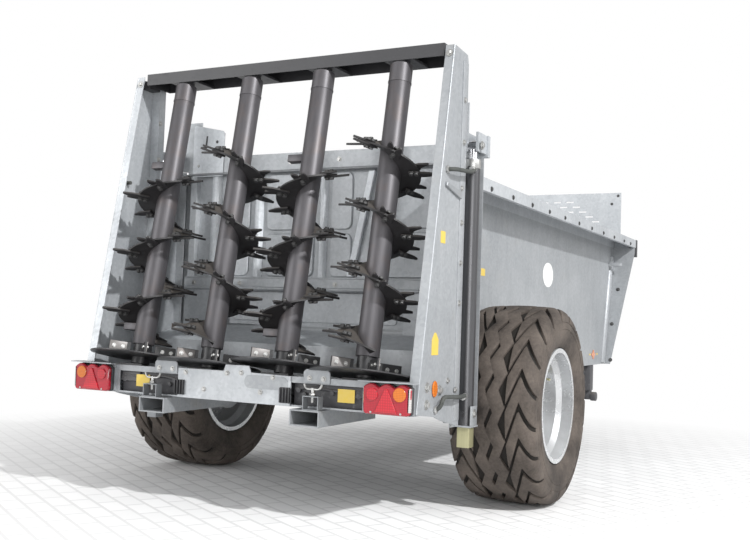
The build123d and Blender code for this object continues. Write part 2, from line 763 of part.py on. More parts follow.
def rear_crossmember():
    """C-shaped member between the side plates, with openings for the drive and lamp brackets."""
    half = frame_half - frame_sheet
    t = cross_sheet
    z = (cross_bottom, cross_top)
    web = block((-half, half), (cross_rear, cross_rear + t), z)
    for side in (1, -1):
        x = (side * recess_x[0], side * recess_x[1])
        web -= block(x, (cross_rear - 5, cross_rear + t + 5), (z[0] + 8, z[1] - 28))
    lower = block((-half, half), (cross_rear + t, lip_y - 10), (z[0], z[0] + t))
    upper = None
    for side in (1, -1):
        x = (side * (lamp_x[0] + 40), side * (frame_half - flange_width - 1))
        strip = block(x, (cross_rear + t, cross_front), (z[1] - t - 20, z[1] - 20))
        upper = strip if upper is None else upper + strip
    brackets = None
    for side in (1, -1):
        x = (side * lamp_x[0], side * (lamp_x[1] - 10))
        plate = block(x, (cross_rear - 10, cross_rear), (lamp_bottom + 6, lamp_top + 8))
        cover = block((side * (lamp_x[0] - 20), side * (lamp_x[1] + 18)), (cross_rear - 62, cross_rear - 10),
                      (lamp_top + 3, lamp_top + 8))
        brackets = plate + cover if brackets is None else brackets + plate + cover
    return web + lower + upper + brackets


def centre_panel():
    """Light sheet bolted over the middle of the cross-member, with two raised tabs."""
    y = (cross_rear - 6, cross_rear)
    sheet = block((-panel_half, panel_half), y, (cross_bottom, panel_top - 12))
    for x in ((-300, -170), (60, 190)):
        sheet += block(x, y, (panel_top - 12, panel_top))
    return sheet


def support_tubes():
    """Open-ended tubes under the cross-member, each with a short square tube on top."""
    t = support_wall
    y = (support_rear, support_front)
    z = (support_bottom, support_top)
    tube = block(support_x, y, z)
    tube -= block((support_x[0] + t, support_x[1] - t), y, (z[0] + t, z[1] - t))
    pad = block((support_x[0] + 20, support_x[1] - 20), (cross_rear + 10, lip_y - 45), (z[1], cross_bottom))
    x = (support_x[1] - 92, support_x[1] - 12)
    top = block(x, (support_rear + 10, cross_rear - 8), (z[1], z[1] + 62))
    top -= block((x[0] + 4, x[1] - 4), (support_rear + 10, cross_rear - 8), (z[1] + 4, z[1] + 58))
    return both(tube + pad + top)


def rear_lamps():
    z = (lamp_bottom, lamp_top)
    lamp = block(lamp_x, (cross_rear - 10 - lamp_depth, cross_rear - 10), z)
    return both(lamp)


def discharge_chute():
    """Sheet that falls from the floor to the beaters' bed, with the sill corners under the gate."""
    half = frame_half - frame_sheet - post_size - 1
    t = floor_sheet
    slope = [(hull_rear, floor_top), (lip_y, lip_z), (lip_y, lip_z - t), (hull_rear, floor_top - t)]
    chute = side_prism(slope, (-half, half))
    drop = block((-half, half), (lip_y - t, lip_y), (cross_bottom + cross_sheet, lip_z))
    drop -= rod_y(45, 0, (lip_y - 20, lip_y + 20), drive_z)
    corners = None
    for side in (1, -1):
        x = (side * (gate_lower_half + 6), side * (guide_web - 56))
        corner = block(x, (gate_sheet_y - gate_frame, gate_sheet_y - gate_frame + 5), (floor_top - 22, gate_step - 8))
        corners = corner if corners is None else corners + corner
    return chute + drop + corners


# ---- gate

def gate():
    """Sheet with a top beam, stiles, a middle channel and a narrower lower panel, and its lift brackets."""
    y = (gate_sheet_y - gate_sheet, gate_sheet_y)
    back = (gate_sheet_y - gate_frame - gate_sheet, gate_sheet_y - gate_sheet)
    sheet = block((-gate_half, gate_half), y, (gate_step, gate_top))
    sheet += block((-gate_lower_half, gate_lower_half), y, (gate_bottom, gate_step))
    sheet += block((-gate_half + 30, gate_half - 30), back, (gate_top - 100, gate_top))
    sheet += block((-gate_half + 30, gate_half - 30), back, (gate_step, gate_step + 63))
    for side in (1, -1):
        sheet += block((side * (gate_half - 90), side * (gate_half - 50)), back, (gate_step, gate_top))
        sheet += block((side * (gate_half - 110), side * (gate_half + 10)), (back[0], back[0] + 8),
                       (gate_top, gate_top + 200))
        arm = block((side * (gate_half - 30), side * (ram_x + 42)), (back[0] + 5, back[1]), (guide_top + 10, 1830))
        for inset in (-34, 22):
            ear = (side * (ram_x + inset), side * (ram_x + inset + 12))
            arm += block(ear, (ram_y - 28, back[0] + 5), (eye_z - 30, 1830))
        arm += rod_x(12, (side * (ram_x - 34), side * (ram_x + 34)), ram_y, eye_z)
        sheet += arm
    return sheet


def lift_rods():
    """Piston rods with the eyes that the gate's pins pass through."""
    rod = rod_z(lift_rod, ram_x, ram_y, (lift_foot + 90, eye_z - 20))
    eye = rod_x(26, (ram_x - 21, ram_x + 21), ram_y, eye_z)
    eye -= rod_x(12.3, (ram_x - 30, ram_x + 30), ram_y, eye_z)
    rod -= rod_x(25, (ram_x - 30, ram_x + 30), ram_y, eye_z)
    return both(rod + eye)


def lift_barrels():
    """Cylinder tubes that stand on the guides' feet, with their glands and ports."""
    outer, inner = lift_barrel
    z = (guide_bottom + 8, lift_top)
    tube = rod_z(outer, ram_x, ram_y, z) - rod_z(inner, ram_x, ram_y, (lift_foot + 30, lift_top - 40))
    tube -= rod_z(lift_rod + 0.5, ram_x, ram_y, (lift_top - 60, lift_top + 10))
    for port_z in (lift_top - 45, lift_foot + 45):
        tube += rod_y(9, ram_x, (ram_y - outer - 14, ram_y - outer + 4), port_z)
    return both(tube)


beater_xs = [beater_spacing * k for k in (-1.5, -0.5, 0.5, 1.5)]

# name, hand (1 right, -1 left), angle and height at which the flight starts, disc level
beater_rows = (
    ("1", 1, 0, 1605, 0),
    ("2", -1, 180, 1758, 1),
    ("3", 1, 0, 1605, 0),
    ("4", -1, 180, 1758, 1),
)

for x, (number, hand, start_angle, start_z, level) in zip(beater_xs, beater_rows):
    save(f"beater_{number}", beater(x, hand, start_angle, start_z))
    save(f"beater_disc_{number}", beater_disc(x, disc_drop[level]))

for side, maker in (("right", lambda s: s), ("left", lambda s: mirror(s, about=Plane.YZ))):
    save(f"tyre_{side}", maker(tyre()))
    save(f"rim_{side}", maker(rim()))
    save(f"hub_{side}", maker(hub()))
    save(f"side_wall_{side}", maker(side_wall()))
    save(f"side_plate_{side}", maker(side_plate()))

save("axle", axle())
save("main_rails", main_rails())
save("cross_bearers", cross_bearers())
save("drawbar_legs", both(drawbar_leg(leg_wall)))
save("drawbar_ties", drawbar_ties())
save("ram_stand", ram_stand())
save("hitch_eye", hitch_eye())
save("jack_sleeve", jack_sleeve())
save("jack_leg", jack_leg())
save("hull_floor", hull_floor())
save("coamings", both(coaming()))
save("front_posts", both(front_post()))
save("front_guard", front_guard())
save("push_wall", push_wall())
save("ram_barrel", ram_barrel())
for stage in (1, 2, 3):
    save(f"ram_stage_{stage}", ram_stage(stage))
save("gate_guides", both(gate_guide()))
save("top_crossbeam", top_crossbeam())
save("upper_bearings", upper_bearings())
save("gear_housings", gear_housings())
save("driveline", driveline())
save("shaft_hangers", shaft_hangers())
save("rear_crossmember", rear_crossmember())
save("centre_panel", centre_panel())
save("support_tubes", support_tubes())
save("rear_lamps", rear_lamps())
save("discharge_chute", discharge_chute())
save("gate", gate())
save("lift_rods", lift_rods())
save("lift_barrels", lift_barrels())
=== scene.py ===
import json
import math
import bpy
import bmesh
from mathutils import Matrix, Vector


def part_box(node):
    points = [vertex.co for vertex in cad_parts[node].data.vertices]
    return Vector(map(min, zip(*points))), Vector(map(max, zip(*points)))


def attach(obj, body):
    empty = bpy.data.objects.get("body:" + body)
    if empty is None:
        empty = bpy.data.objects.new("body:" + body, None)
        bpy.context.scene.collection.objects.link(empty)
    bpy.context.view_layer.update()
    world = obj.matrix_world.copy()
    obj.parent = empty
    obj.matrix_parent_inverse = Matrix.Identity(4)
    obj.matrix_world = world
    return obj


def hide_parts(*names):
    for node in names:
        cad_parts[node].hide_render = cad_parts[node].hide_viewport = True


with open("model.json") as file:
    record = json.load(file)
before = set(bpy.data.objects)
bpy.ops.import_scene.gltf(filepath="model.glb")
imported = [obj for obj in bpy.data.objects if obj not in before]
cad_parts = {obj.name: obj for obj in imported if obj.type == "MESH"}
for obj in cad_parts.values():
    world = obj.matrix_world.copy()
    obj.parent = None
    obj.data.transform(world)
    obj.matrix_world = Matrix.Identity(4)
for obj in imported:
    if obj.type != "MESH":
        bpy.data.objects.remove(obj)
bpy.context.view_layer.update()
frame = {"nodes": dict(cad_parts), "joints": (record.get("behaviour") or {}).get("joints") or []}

nodes = frame["nodes"]
axleY = sum(corner.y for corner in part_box("tyre_right")) / 2

# Manure spreader. Metres, +X to the machine's right, +Y in the direction of travel, +Z up.


# helpers: selecting, placing, the basic forms, copies, and the last step of each piece
def objectMode():
    bpy.ops.object.mode_set(mode="OBJECT")


def deselectAll():
    if bpy.context.mode != "OBJECT":
        objectMode()
    bpy.ops.object.select_all(action="DESELECT")


def activate(piece):
    deselectAll()
    piece.select_set(True)
    bpy.context.view_layer.objects.active = piece


def editAll(piece):
    activate(piece)
    bpy.ops.object.mode_set(mode="EDIT")
    bpy.ops.mesh.select_all(action="SELECT")


def applyPlace(piece):
    activate(piece)
    bpy.ops.object.transform_apply(location=True, rotation=True, scale=True)


def placed(piece, place):
    piece.matrix_world = place
    applyPlace(piece)
    return piece


def turnOutwards(piece):
    editAll(piece)
    bpy.ops.mesh.remove_doubles(threshold=0.00005)
    bpy.ops.mesh.normals_make_consistent(inside=False)
    objectMode()


def applyModifier(piece, kind, **settings):
    activate(piece)
    modifier = piece.modifiers.new(kind.title(), kind)
    for key, value in settings.items():
        setattr(modifier, key, value)
    bpy.ops.object.modifier_apply(modifier=modifier.name)


def bevelFaces(piece, test, offset, segments):
    # breaks the edges of just the faces that pass the test
    activate(piece)
    bpy.ops.object.mode_set(mode="EDIT")
    bpy.ops.mesh.select_all(action="DESELECT")
    bpy.ops.mesh.select_mode(type="FACE")
    mesh = bmesh.from_edit_mesh(piece.data)
    for face in mesh.faces:
        face.select = test(face)
    mesh.select_flush_mode()
    bmesh.update_edit_mesh(piece.data)
    bpy.ops.mesh.bevel(offset=offset, segments=segments, affect="EDGES")
    objectMode()


def facing(point, direction):
    # a place whose Z points along a direction
    return Matrix.Translation(point) @ Vector(direction).to_track_quat("Z", "Y").to_matrix().to_4x4()


def turned(degrees, axis):
    return Matrix.Rotation(math.radians(degrees), 4, axis)


def newBlock(low, high, bevel=0.0015):
    # a cube pulled to its size, with its edges broken
    deselectAll()
    bpy.ops.mesh.primitive_cube_add(size=1, location=[(a + b) / 2 for a, b in zip(low, high)])
    piece = bpy.context.object
    piece.scale = [b - a for a, b in zip(low, high)]
    applyPlace(piece)
    if bevel > 0:
        editAll(piece)
        bpy.ops.mesh.bevel(offset=bevel, segments=2, affect="EDGES")
        objectMode()
    return piece


def newRod(radius, start, end, vertices=24, bevel=0.0):
    # a round bar between two points
    start, end = Vector(start), Vector(end)
    along = end - start
    deselectAll()
    bpy.ops.mesh.primitive_cylinder_add(vertices=vertices, radius=radius, depth=along.length)
    piece = placed(bpy.context.object, facing((start + end) / 2, along))
    if bevel > 0:
        axis = along.normalized()
        bevelFaces(piece, lambda face: abs(face.normal.dot(axis)) > 0.9, bevel, 2)
    return piece


def newOutline(points, fill="NOTHING"):
    # a closed outline, left in edit mode with all of it selected
    deselectAll()
    bpy.ops.mesh.primitive_circle_add(vertices=len(points), radius=1, fill_type=fill)
    piece = bpy.context.object
    for vertex, point in zip(piece.data.vertices, points):
        vertex.co = point
    editAll(piece)
    return piece


def newPlate(outline, thickness, place, bevel=0.001):
    # a flat sheet from an outline of (across, up) points, pulled out along its own normal
    piece = newOutline([(across, up, 0) for across, up in outline], "NGON")
    bpy.ops.mesh.extrude_region_move(TRANSFORM_OT_translate={"value": (0, 0, thickness)})
    bpy.ops.mesh.select_all(action="SELECT")
    bpy.ops.mesh.normals_make_consistent(inside=False)
    if bevel > 0:
        bpy.ops.mesh.bevel(offset=bevel, segments=1, affect="EDGES")
    objectMode()
    return placed(piece, place)


def newRing(profile, steps, place):
    # a closed outline of (along, radius) points, spun right round its axis
    piece = newOutline([(along, 0, radius) for along, radius in profile])
    bpy.ops.mesh.spin(steps=steps, angle=2 * math.pi, center=(0, 0, 0), axis=(1, 0, 0))
    bpy.ops.mesh.select_all(action="SELECT")
    bpy.ops.mesh.remove_doubles(threshold=0.00002)
    bpy.ops.mesh.normals_make_consistent(inside=False)
    objectMode()
    return placed(piece, place)


def copyTo(master, places):
    # one copy of the master, with its own mesh, at each place
    copies = []
    for place in places:
        copy = master.copy()
        copy.data = master.data.copy()
        bpy.context.scene.collection.objects.link(copy)
        copy.matrix_world = place
        copies.append(copy)
    return copies


def joined(parts, name):
    deselectAll()
    for part in parts:
        part.select_set(True)
    bpy.context.view_layer.objects.active = parts[0]
    if len(parts) > 1:
        bpy.ops.object.join()
    piece = bpy.context.view_layer.objects.active
    piece.name = name
    piece.data.name = name
    applyPlace(piece)
    return piece


def remove(*pieces):
    for piece in pieces:
        bpy.data.objects.remove(piece, do_unlink=True)


def mirrored(piece, name):
    # the same piece on the machine's other side
    twin = joined(copyTo(piece, [Matrix.Scale(-1, 4, (1, 0, 0))]), name)
    editAll(twin)
    bpy.ops.mesh.flip_normals()
    objectMode()
    return twin


def finished(piece, material, body="chassis", angle=32):
    # the last step of each piece: shading, finish, and the body that carries it
    activate(piece)
    bpy.ops.object.shade_smooth_by_angle(angle=math.radians(angle))
    piece.data.materials.clear()
    piece.data.materials.append(material)
    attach(piece, body)
    return piece


def bothSides(piece, material, body="chassis"):
    # finishes a piece of the right side and its mirror image, the left one, which it gives back
    name = piece.name
    twin = mirrored(piece, name + "Left")
    piece.name = name + "Right"
    finished(piece, material, body)
    return finished(twin, material, body.replace("right", "left"))


def boltMaster(radius, height, washer=1.5):
    # a hexagon head with a chamfer, on its washer
    deselectAll()
    bpy.ops.mesh.primitive_cylinder_add(vertices=6, radius=radius, depth=height,
                                        location=(0, 0, height / 2 + 0.002))
    head = bpy.context.object
    bevelFaces(head, lambda face: face.normal.z > 0.9, radius * 0.16, 1)
    deselectAll()
    bpy.ops.mesh.primitive_cylinder_add(vertices=20, radius=radius * washer, depth=0.0025,
                                        location=(0, 0, 0.00125))
    return joined([head, bpy.context.object], "boltMaster")


def boltsAt(places, radius, height, name, material, body="chassis"):
    master = boltMaster(radius, height)
    piece = joined(copyTo(master, places), name)
    remove(master)
    return finished(piece, material, body, angle=25)


def boltsOnBothSides(places, radius, height, name, material, body="chassis"):
    bothSides(boltsAt(places, radius, height, name, material, body), material, body)


# helpers for node trees
def wire(tree, node, inputs):
    # each input gets a number, a colour or another node's output
    for key, value in inputs.items():
        socket = node.inputs[key]
        if isinstance(value, bpy.types.NodeSocket):
            tree.links.new(value, socket)
        elif isinstance(value, tuple) and len(socket.default_value) == 4:
            socket.default_value = (*value, 1)
        else:
            socket.default_value = value
    return node


def newNode(tree, kind, inputs):
    return wire(tree, tree.nodes.new("ShaderNode" + kind), inputs)


def newMaterial(name):
    material = bpy.data.materials.new(name)
    material.use_nodes = True
    tree = material.node_tree
    tree.nodes.clear()
    shader = newNode(tree, "BsdfPrincipled", {})
    newNode(tree, "OutputMaterial", {"Surface": shader.outputs["BSDF"]})
    return material, tree, shader


def objectPoint(tree, scale=(1, 1, 1)):
    coordinates = newNode(tree, "TexCoord", {})
    mapping = newNode(tree, "Mapping", {"Scale": scale, "Vector": coordinates.outputs["Object"]})
    return mapping.outputs["Vector"]


def noiseAt(tree, point, scale, detail=4.0, roughness=0.55, distortion=0.0):
    noise = newNode(tree, "TexNoise", {"Vector": point, "Scale": scale, "Detail": detail,
                                       "Roughness": roughness, "Distortion": distortion})
    return noise.outputs["Fac"]


def cellsAt(tree, point, scale, randomness=1.0):
    return newNode(tree, "TexVoronoi", {"Vector": point, "Scale": scale, "Randomness": randomness})


def rampOf(tree, value, stops):
    node = newNode(tree, "ValToRGB", {"Fac": value})
    elements = node.color_ramp.elements
    while len(elements) < len(stops):
        elements.new(0.5)
    for element, (position, colour) in zip(elements, stops):
        element.position = position
        element.color = (*colour, 1)
    return node.outputs["Color"]


def spread(tree, value, low, high, fromLow=0.0, fromHigh=1.0):
    # a value between two limits, carried over to the range from low to high
    mapped = newNode(tree, "MapRange", {"Value": value, "From Min": fromLow, "From Max": fromHigh,
                                        "To Min": low, "To Max": high})
    return mapped.outputs["Result"]


def blend(tree, factor, first, second):
    # the mix node's factor and its two colours go by number, because its inputs share their names
    node = newNode(tree, "Mix", {})
    node.data_type = "RGBA"
    return wire(tree, node, {0: factor, 6: first, 7: second}).outputs[2]


def maths(tree, operation, first, second=0.0):
    node = newNode(tree, "Math", {0: first, 1: second})
    node.operation = operation
    return node.outputs["Value"]


def times(tree, first, second):
    return maths(tree, "MULTIPLY", first, second)


def bumpFrom(tree, shader, height, strength, distance):
    node = newNode(tree, "Bump", {"Height": height, "Strength": strength, "Distance": distance})
    wire(tree, shader, {"Normal": node.outputs["Normal"]})


def axisOf(tree, vector, axis):
    return newNode(tree, "SeparateXYZ", {"Vector": vector}).outputs[axis]


def scaled(colour, factor, added=0.0):
    return tuple(min(1, c * factor + added) for c in colour)


galvanisedSettings = {
    "dark": (0.27, 0.285, 0.30),
    "middle": (0.33, 0.345, 0.36),
    "light": (0.40, 0.415, 0.43),
    "grime": (0.30, 0.27, 0.22),
    "spangleScale": 70.0,
    "cloudScale": 2.2,
    "streakScale": 20.0,
    "metallic": 0.30,
}


def galvanisedMaterial(name, paintedLightFactor=1.0, dust=0.12):
    # zinc: small crystals, soft clouds and thin runs down the sheet, all scaled by a factor that paints light
    # or shade into the colour
    s = galvanisedSettings
    material, tree, shader = newMaterial(name)
    point = objectPoint(tree)
    crystals = axisOf(tree, cellsAt(tree, point, s["spangleScale"]).outputs["Color"], "X")
    clouds = noiseAt(tree, point, s["cloudScale"], 5, 0.6, 0.4)
    runs = noiseAt(tree, objectPoint(tree, (s["streakScale"], s["streakScale"], 1.4)), 1.0, 3, 0.5)
    mixed = maths(tree, "ADD", times(tree, crystals, 0.14), times(tree, clouds, 0.62))
    mixed = maths(tree, "ADD", mixed, times(tree, runs, 0.24))
    dark, middle, light = (scaled(s[key], paintedLightFactor) for key in ("dark", "middle", "light"))
    colour = rampOf(tree, mixed, [(0.3, dark), (0.5, middle), (0.72, light)])
    grime = spread(tree, noiseAt(tree, point, 7.0, 6, 0.65), 0.0, 1.0, 0.55, 0.75)
    wire(tree, shader, {"Base Color": blend(tree, times(tree, grime, dust), colour, s["grime"]),
                        "Roughness": spread(tree, mixed, 0.52, 0.36), "Metallic": s["metallic"]})
    bumpFrom(tree, shader, mixed, 0.12, 0.0008)
    return material


def paintMaterial(name, colour, roughness=0.42, wear=(0.3, 0.3, 0.3), wearAmount=0.35,
                  dust=(0.33, 0.29, 0.23), dustAmount=0.3, metallic=0.0):
    # satin paint with scuffs, and dust on what faces up
    material, tree, shader = newMaterial(name)
    point = objectPoint(tree)
    scuffs = spread(tree, noiseAt(tree, point, 38.0, 6, 0.7), 0.0, 1.0, 0.58, 0.7)
    clouds = noiseAt(tree, point, 4.5, 4, 0.6)
    base = blend(tree, clouds, scaled(colour, 0.75), scaled(colour, 1.25))
    base = blend(tree, times(tree, scuffs, wearAmount), base, wear)
    upwards = axisOf(tree, newNode(tree, "NewGeometry", {}).outputs["Normal"], "Z")
    settled = times(tree, spread(tree, upwards, 0.0, 1.0, 0.2, 0.95), spread(tree, clouds, 0.3, 1.0))
    base = blend(tree, times(tree, settled, dustAmount), base, dust)
    rough = spread(tree, maths(tree, "ADD", settled, scuffs), roughness, min(1.0, roughness + 0.35))
    wire(tree, shader, {"Base Color": base, "Metallic": metallic, "Roughness": rough})
    bumpFrom(tree, shader, noiseAt(tree, point, 220.0, 2), 0.06, 0.0006)
    return material


def steelMaterial(name, colour, roughness, metallic=0.8, rust=0.0):
    # bare steel with a drawn grain and faint stains
    material, tree, shader = newMaterial(name)
    grain = noiseAt(tree, objectPoint(tree, (60.0, 60.0, 1.2)), 1.0, 4, 0.6)
    stains = spread(tree, noiseAt(tree, objectPoint(tree), 9.0, 5, 0.6), 0.0, 1.0, 0.52, 0.7)
    base = blend(tree, grain, scaled(colour, 0.78), scaled(colour, 1.18))
    base = blend(tree, times(tree, stains, rust), base, (0.17, 0.10, 0.06))
    wire(tree, shader, {"Base Color": base, "Metallic": metallic,
                        "Roughness": spread(tree, grain, roughness * 0.85, roughness * 1.2)})
    bumpFrom(tree, shader, grain, 0.08, 0.0006)
    return material


def rubberMaterial(name, colour, dust, dustAmount):
    # rubber: brown dust over near-black, in clouds
    material, tree, shader = newMaterial(name)
    point = objectPoint(tree)
    clouds = noiseAt(tree, point, 5.0, 6, 0.62)
    fine = noiseAt(tree, point, 75.0, 5, 0.7)
    cover = maths(tree, "ADD", times(tree, clouds, 0.7), times(tree, fine, 0.3))
    base = blend(tree, spread(tree, cover, 0.0, 1.0, 0.35, 0.62), colour, dust)
    wire(tree, shader, {"Base Color": blend(tree, 1 - dustAmount, base, colour),
                        "Roughness": spread(tree, cover, 0.62, 0.92), "Specular IOR Level": 0.3})
    bumpFrom(tree, shader, fine, 0.3, 0.001)
    return material


def lensMaterial(name, colour, prismScale=140.0):
    # clear moulded plastic over a ribbed reflector
    material, tree, shader = newMaterial(name)
    point = objectPoint(tree)
    cells = cellsAt(tree, point, prismScale, 0.0).outputs["Distance"]
    base = blend(tree, spread(tree, cells, 0.0, 1.0, 0.1, 0.6), scaled(colour, 1.15), scaled(colour, 0.62))
    base = blend(tree, times(tree, noiseAt(tree, point, 20.0, 3), 0.25), base, scaled(colour, 0.5))
    wire(tree, shader, {"Base Color": base, "Roughness": 0.16, "Coat Weight": 0.6, "Coat Roughness": 0.06})
    bumpFrom(tree, shader, cells, 0.15, 0.001)
    return material


def plainSignMaterial(name, colour):
    # a blank sign: slightly faded print on a glossy film
    material, tree, shader = newMaterial(name)
    fade = noiseAt(tree, objectPoint(tree), 30.0, 5, 0.6)
    base = blend(tree, spread(tree, fade, 0.0, 0.5, 0.4, 0.75), colour, scaled(colour, 0.8, 0.1))
    wire(tree, shader, {"Base Color": base, "Roughness": spread(tree, fade, 0.28, 0.5)})
    return material


galvanised = galvanisedMaterial("galvanisedSheet")
# darker copy of the zinc: painted shade, with more dust
galvanisedPaintedShadeDusty = galvanisedMaterial("galvanisedPaintedShadeDusty", 0.82, 0.3)
# lighter copies of the same zinc: painted light, in three strengths
galvanisedPaintedLight = galvanisedMaterial("galvanisedPaintedLight", 1.30, 0.04)
galvanisedMorePaintedLight = galvanisedMaterial("galvanisedMorePaintedLight", 1.45, 0.02)
galvanisedMostPaintedLight = galvanisedMaterial("galvanisedMostPaintedLight", 1.95, 0.02)
darkPaint = paintMaterial("darkPaint", (0.034, 0.034, 0.037), 0.45, (0.14, 0.14, 0.145), 0.25,
                          (0.22, 0.2, 0.18), 0.3)
beaterSteel = steelMaterial("beaterSteel", (0.100, 0.096, 0.103), 0.46, 0.5, rust=0.15)
flightSteel = paintMaterial("flightSteel", (0.018, 0.017, 0.018), 0.5, (0.06, 0.06, 0.065), 0.4,
                            (0.15, 0.13, 0.11), 0.6)
discPaint = paintMaterial("discPaint", (0.02, 0.02, 0.022), 0.4, (0.2, 0.2, 0.2), 0.3, (0.24, 0.22, 0.2), 0.5)
paddleSteel = steelMaterial("paddleSteel", (0.20, 0.19, 0.185), 0.45, 0.5, rust=0.25)
castPaint = paintMaterial("castPaint", (0.06, 0.06, 0.065), 0.5)
rimPaint = paintMaterial("rimPaint", (0.58, 0.59, 0.60), 0.26, (0.42, 0.42, 0.42), 0.05, (0.40, 0.38, 0.35),
                         0.12, 0.6)
tyreRubber = rubberMaterial("tyreRubber", (0.030, 0.025, 0.022), (0.125, 0.104, 0.089), 0.9)
# near-black rubber of the groove bed: painted shade
groovePaintedShade = rubberMaterial("groovePaintedShade", (0.010, 0.009, 0.008), (0.030, 0.025, 0.021), 0.5)
cylinderPaint = steelMaterial("cylinderPaint", (0.095, 0.095, 0.10), 0.32, 0.6)
chromeRod = steelMaterial("chromeRod", (0.72, 0.72, 0.74), 0.12, 1.0)
machined = steelMaterial("machinedSteel", (0.42, 0.42, 0.43), 0.3, 0.9)
zincBolt = steelMaterial("zincBolt", (0.46, 0.46, 0.45), 0.34, 0.8)
darkBolt = steelMaterial("darkBolt", (0.09, 0.09, 0.09), 0.45, 0.6)
yellowZinc = steelMaterial("yellowZinc", (0.45, 0.43, 0.26), 0.38, 0.6)
redLens = lensMaterial("redLens", (0.42, 0.010, 0.026))
redLight = lensMaterial("redLight", (0.62, 0.018, 0.035), 90.0)
amberLens = lensMaterial("amberLens", (0.74, 0.19, 0.012))
clearLens = lensMaterial("clearLens", (0.62, 0.60, 0.58))
whiteSign = plainSignMaterial("whiteSign", (0.74, 0.74, 0.73))
yellowSign = plainSignMaterial("yellowSign", (0.62, 0.45, 0.07))
hoseRubber = rubberMaterial("hoseRubber", (0.05, 0.055, 0.052), (0.11, 0.112, 0.105), 0.5)

# the lighter zinc copies paint light into the centre panel, coamings, left side plate, gate, guard and chute;
# the darker copy paints shade, with more dust, into the chassis under the hull
nodeFinish = {
    galvanised: ("side_wall_left", "side_wall_right", "side_plate_right", "gate_guides", "front_posts",
                 "rear_crossmember", "push_wall", "jack_sleeve", "jack_leg"),
    galvanisedPaintedShadeDusty: ("axle", "cross_bearers", "main_rails", "drawbar_legs", "drawbar_ties", "ram_stand",
                     "hull_floor", "shaft_hangers", "support_tubes"),
    galvanisedPaintedLight: ("centre_panel", "coamings", "side_plate_left", "gate"),
    galvanisedMorePaintedLight: ("front_guard", "discharge_chute"),
    darkPaint: ("top_crossbeam", "upper_bearings", "gear_housings", "hitch_eye"),
    cylinderPaint: ("lift_barrels", "ram_barrel"),
    chromeRod: ("lift_rods", "ram_stage_1", "ram_stage_2", "ram_stage_3"),
    machined: ("driveline",),
    rimPaint: ("rim_left", "rim_right"),
    castPaint: ("hub_left", "hub_right"),
    tyreRubber: ("tyre_left", "tyre_right"),
    beaterSteel: ("beater_1", "beater_2", "beater_3", "beater_4"),
    discPaint: ("beater_disc_1", "beater_disc_2", "beater_disc_3", "beater_disc_4"),
    redLens: ("rear_lamps",),
}
for material, names in nodeFinish.items():
    for name in names:
        nodes[name].data.materials.clear()
        nodes[name].data.materials.append(material)
print("materials on", sum(len(names) for names in nodeFinish.values()), "of", len(nodes), "nodes")

# tyres: a carcass, shoulder lugs in a chevron, and two zigzag ribs between them
tyreSettings = {
    "radius": 0.510,
    "track": 1.0085,
    "toe": 0.2802,
    "lugs": 19,
    "grooveDepth": 0.018,
    "rubberUnder": 0.004,    # how far a block reaches into the carcass
    "ribCentre": 0.0345,
    "ribWidth": 0.060,
    "ribSwing": 0.0185,
    "ribShift": 0.028,
    # across and radius, from the crown to the bead
    "profile": [(0, 0.510), (0.10, 0.5072), (0.160, 0.5025), (0.187, 0.496), (0.205, 0.484), (0.2165, 0.466),
                (0.222, 0.445), (0.224, 0.420), (0.2235, 0.390), (0.2205, 0.360), (0.212, 0.325),
                (0.1995, 0.302), (0.1915, 0.297)],
    "sideRings": [(0.2245, 0.402), (0.2268, 0.399), (0.2268, 0.396), (0.2238, 0.393)],
    "inside": [(0.176, 0.300), (0.186, 0.36), (0.18, 0.43), (0.0, 0.475)],
    # distance from the crown along the surface, and how far below its tip the lug's leading edge lies
    "lugEdge": [(0.086, 0.172), (0.118, 0.086), (0.143, 0.012), (0.150, 0.0), (0.157, 0.010), (0.175, 0.045),
                (0.192, 0.069), (0.208, 0.087), (0.226, 0.099), (0.245, 0.107), (0.266, 0.112)],
    # the same distance, and the gap to the next lug
    "lugTrail": [(0.086, 0.036), (0.143, 0.037), (0.150, 0.044), (0.175, 0.042), (0.226, 0.028),
                 (0.266, 0.019)],
}


def through(points, at):
    # straight-line reading of a list of (place, value) pairs
    for (a, first), (b, second) in zip(points, points[1:]):
        if at <= b:
            return first + (second - first) * max(0.0, at - a) / (b - a)
    return points[-1][1]


def newSheet(columns, rows, shape):
    # a grid laid out by a function of its two shares, 0 to 1 across and 0 to 1 along
    deselectAll()
    bpy.ops.mesh.primitive_grid_add(x_subdivisions=columns, y_subdivisions=rows, size=2)
    piece = bpy.context.object
    for vertex in piece.data.vertices:
        vertex.co = shape((vertex.co.x + 1) / 2, (vertex.co.y + 1) / 2)
    turnOutwards(piece)
    return piece


def surfaceOfTyre():
    # the outline read by its own length: distance along it, across, radius
    points = tyreSettings["profile"]
    lengths = [0.0]
    for a, b in zip(points, points[1:]):
        lengths.append(lengths[-1] + math.dist(a, b))
    return [(s, x) for s, (x, r) in zip(lengths, points)], [(s, r) for s, (x, r) in zip(lengths, points)]


acrossAt, radiusAt = surfaceOfTyre()


def onTyre(arc, along):
    # a point of the tread: arc from the crown, and along the tread's length
    across = math.copysign(through(acrossAt, abs(arc)), arc)
    radius = through(radiusAt, abs(arc))
    angle = along / tyreSettings["radius"]
    return Vector((across, -radius * math.cos(angle), radius * math.sin(angle)))


def thickened(piece, thickness, offset, bevel):
    applyModifier(piece, "SOLIDIFY", thickness=thickness, offset=offset, use_even_offset=False)
    if bevel > 0:
        applyModifier(piece, "BEVEL", width=bevel, segments=2, limit_method="ANGLE",
                      angle_limit=math.radians(30))


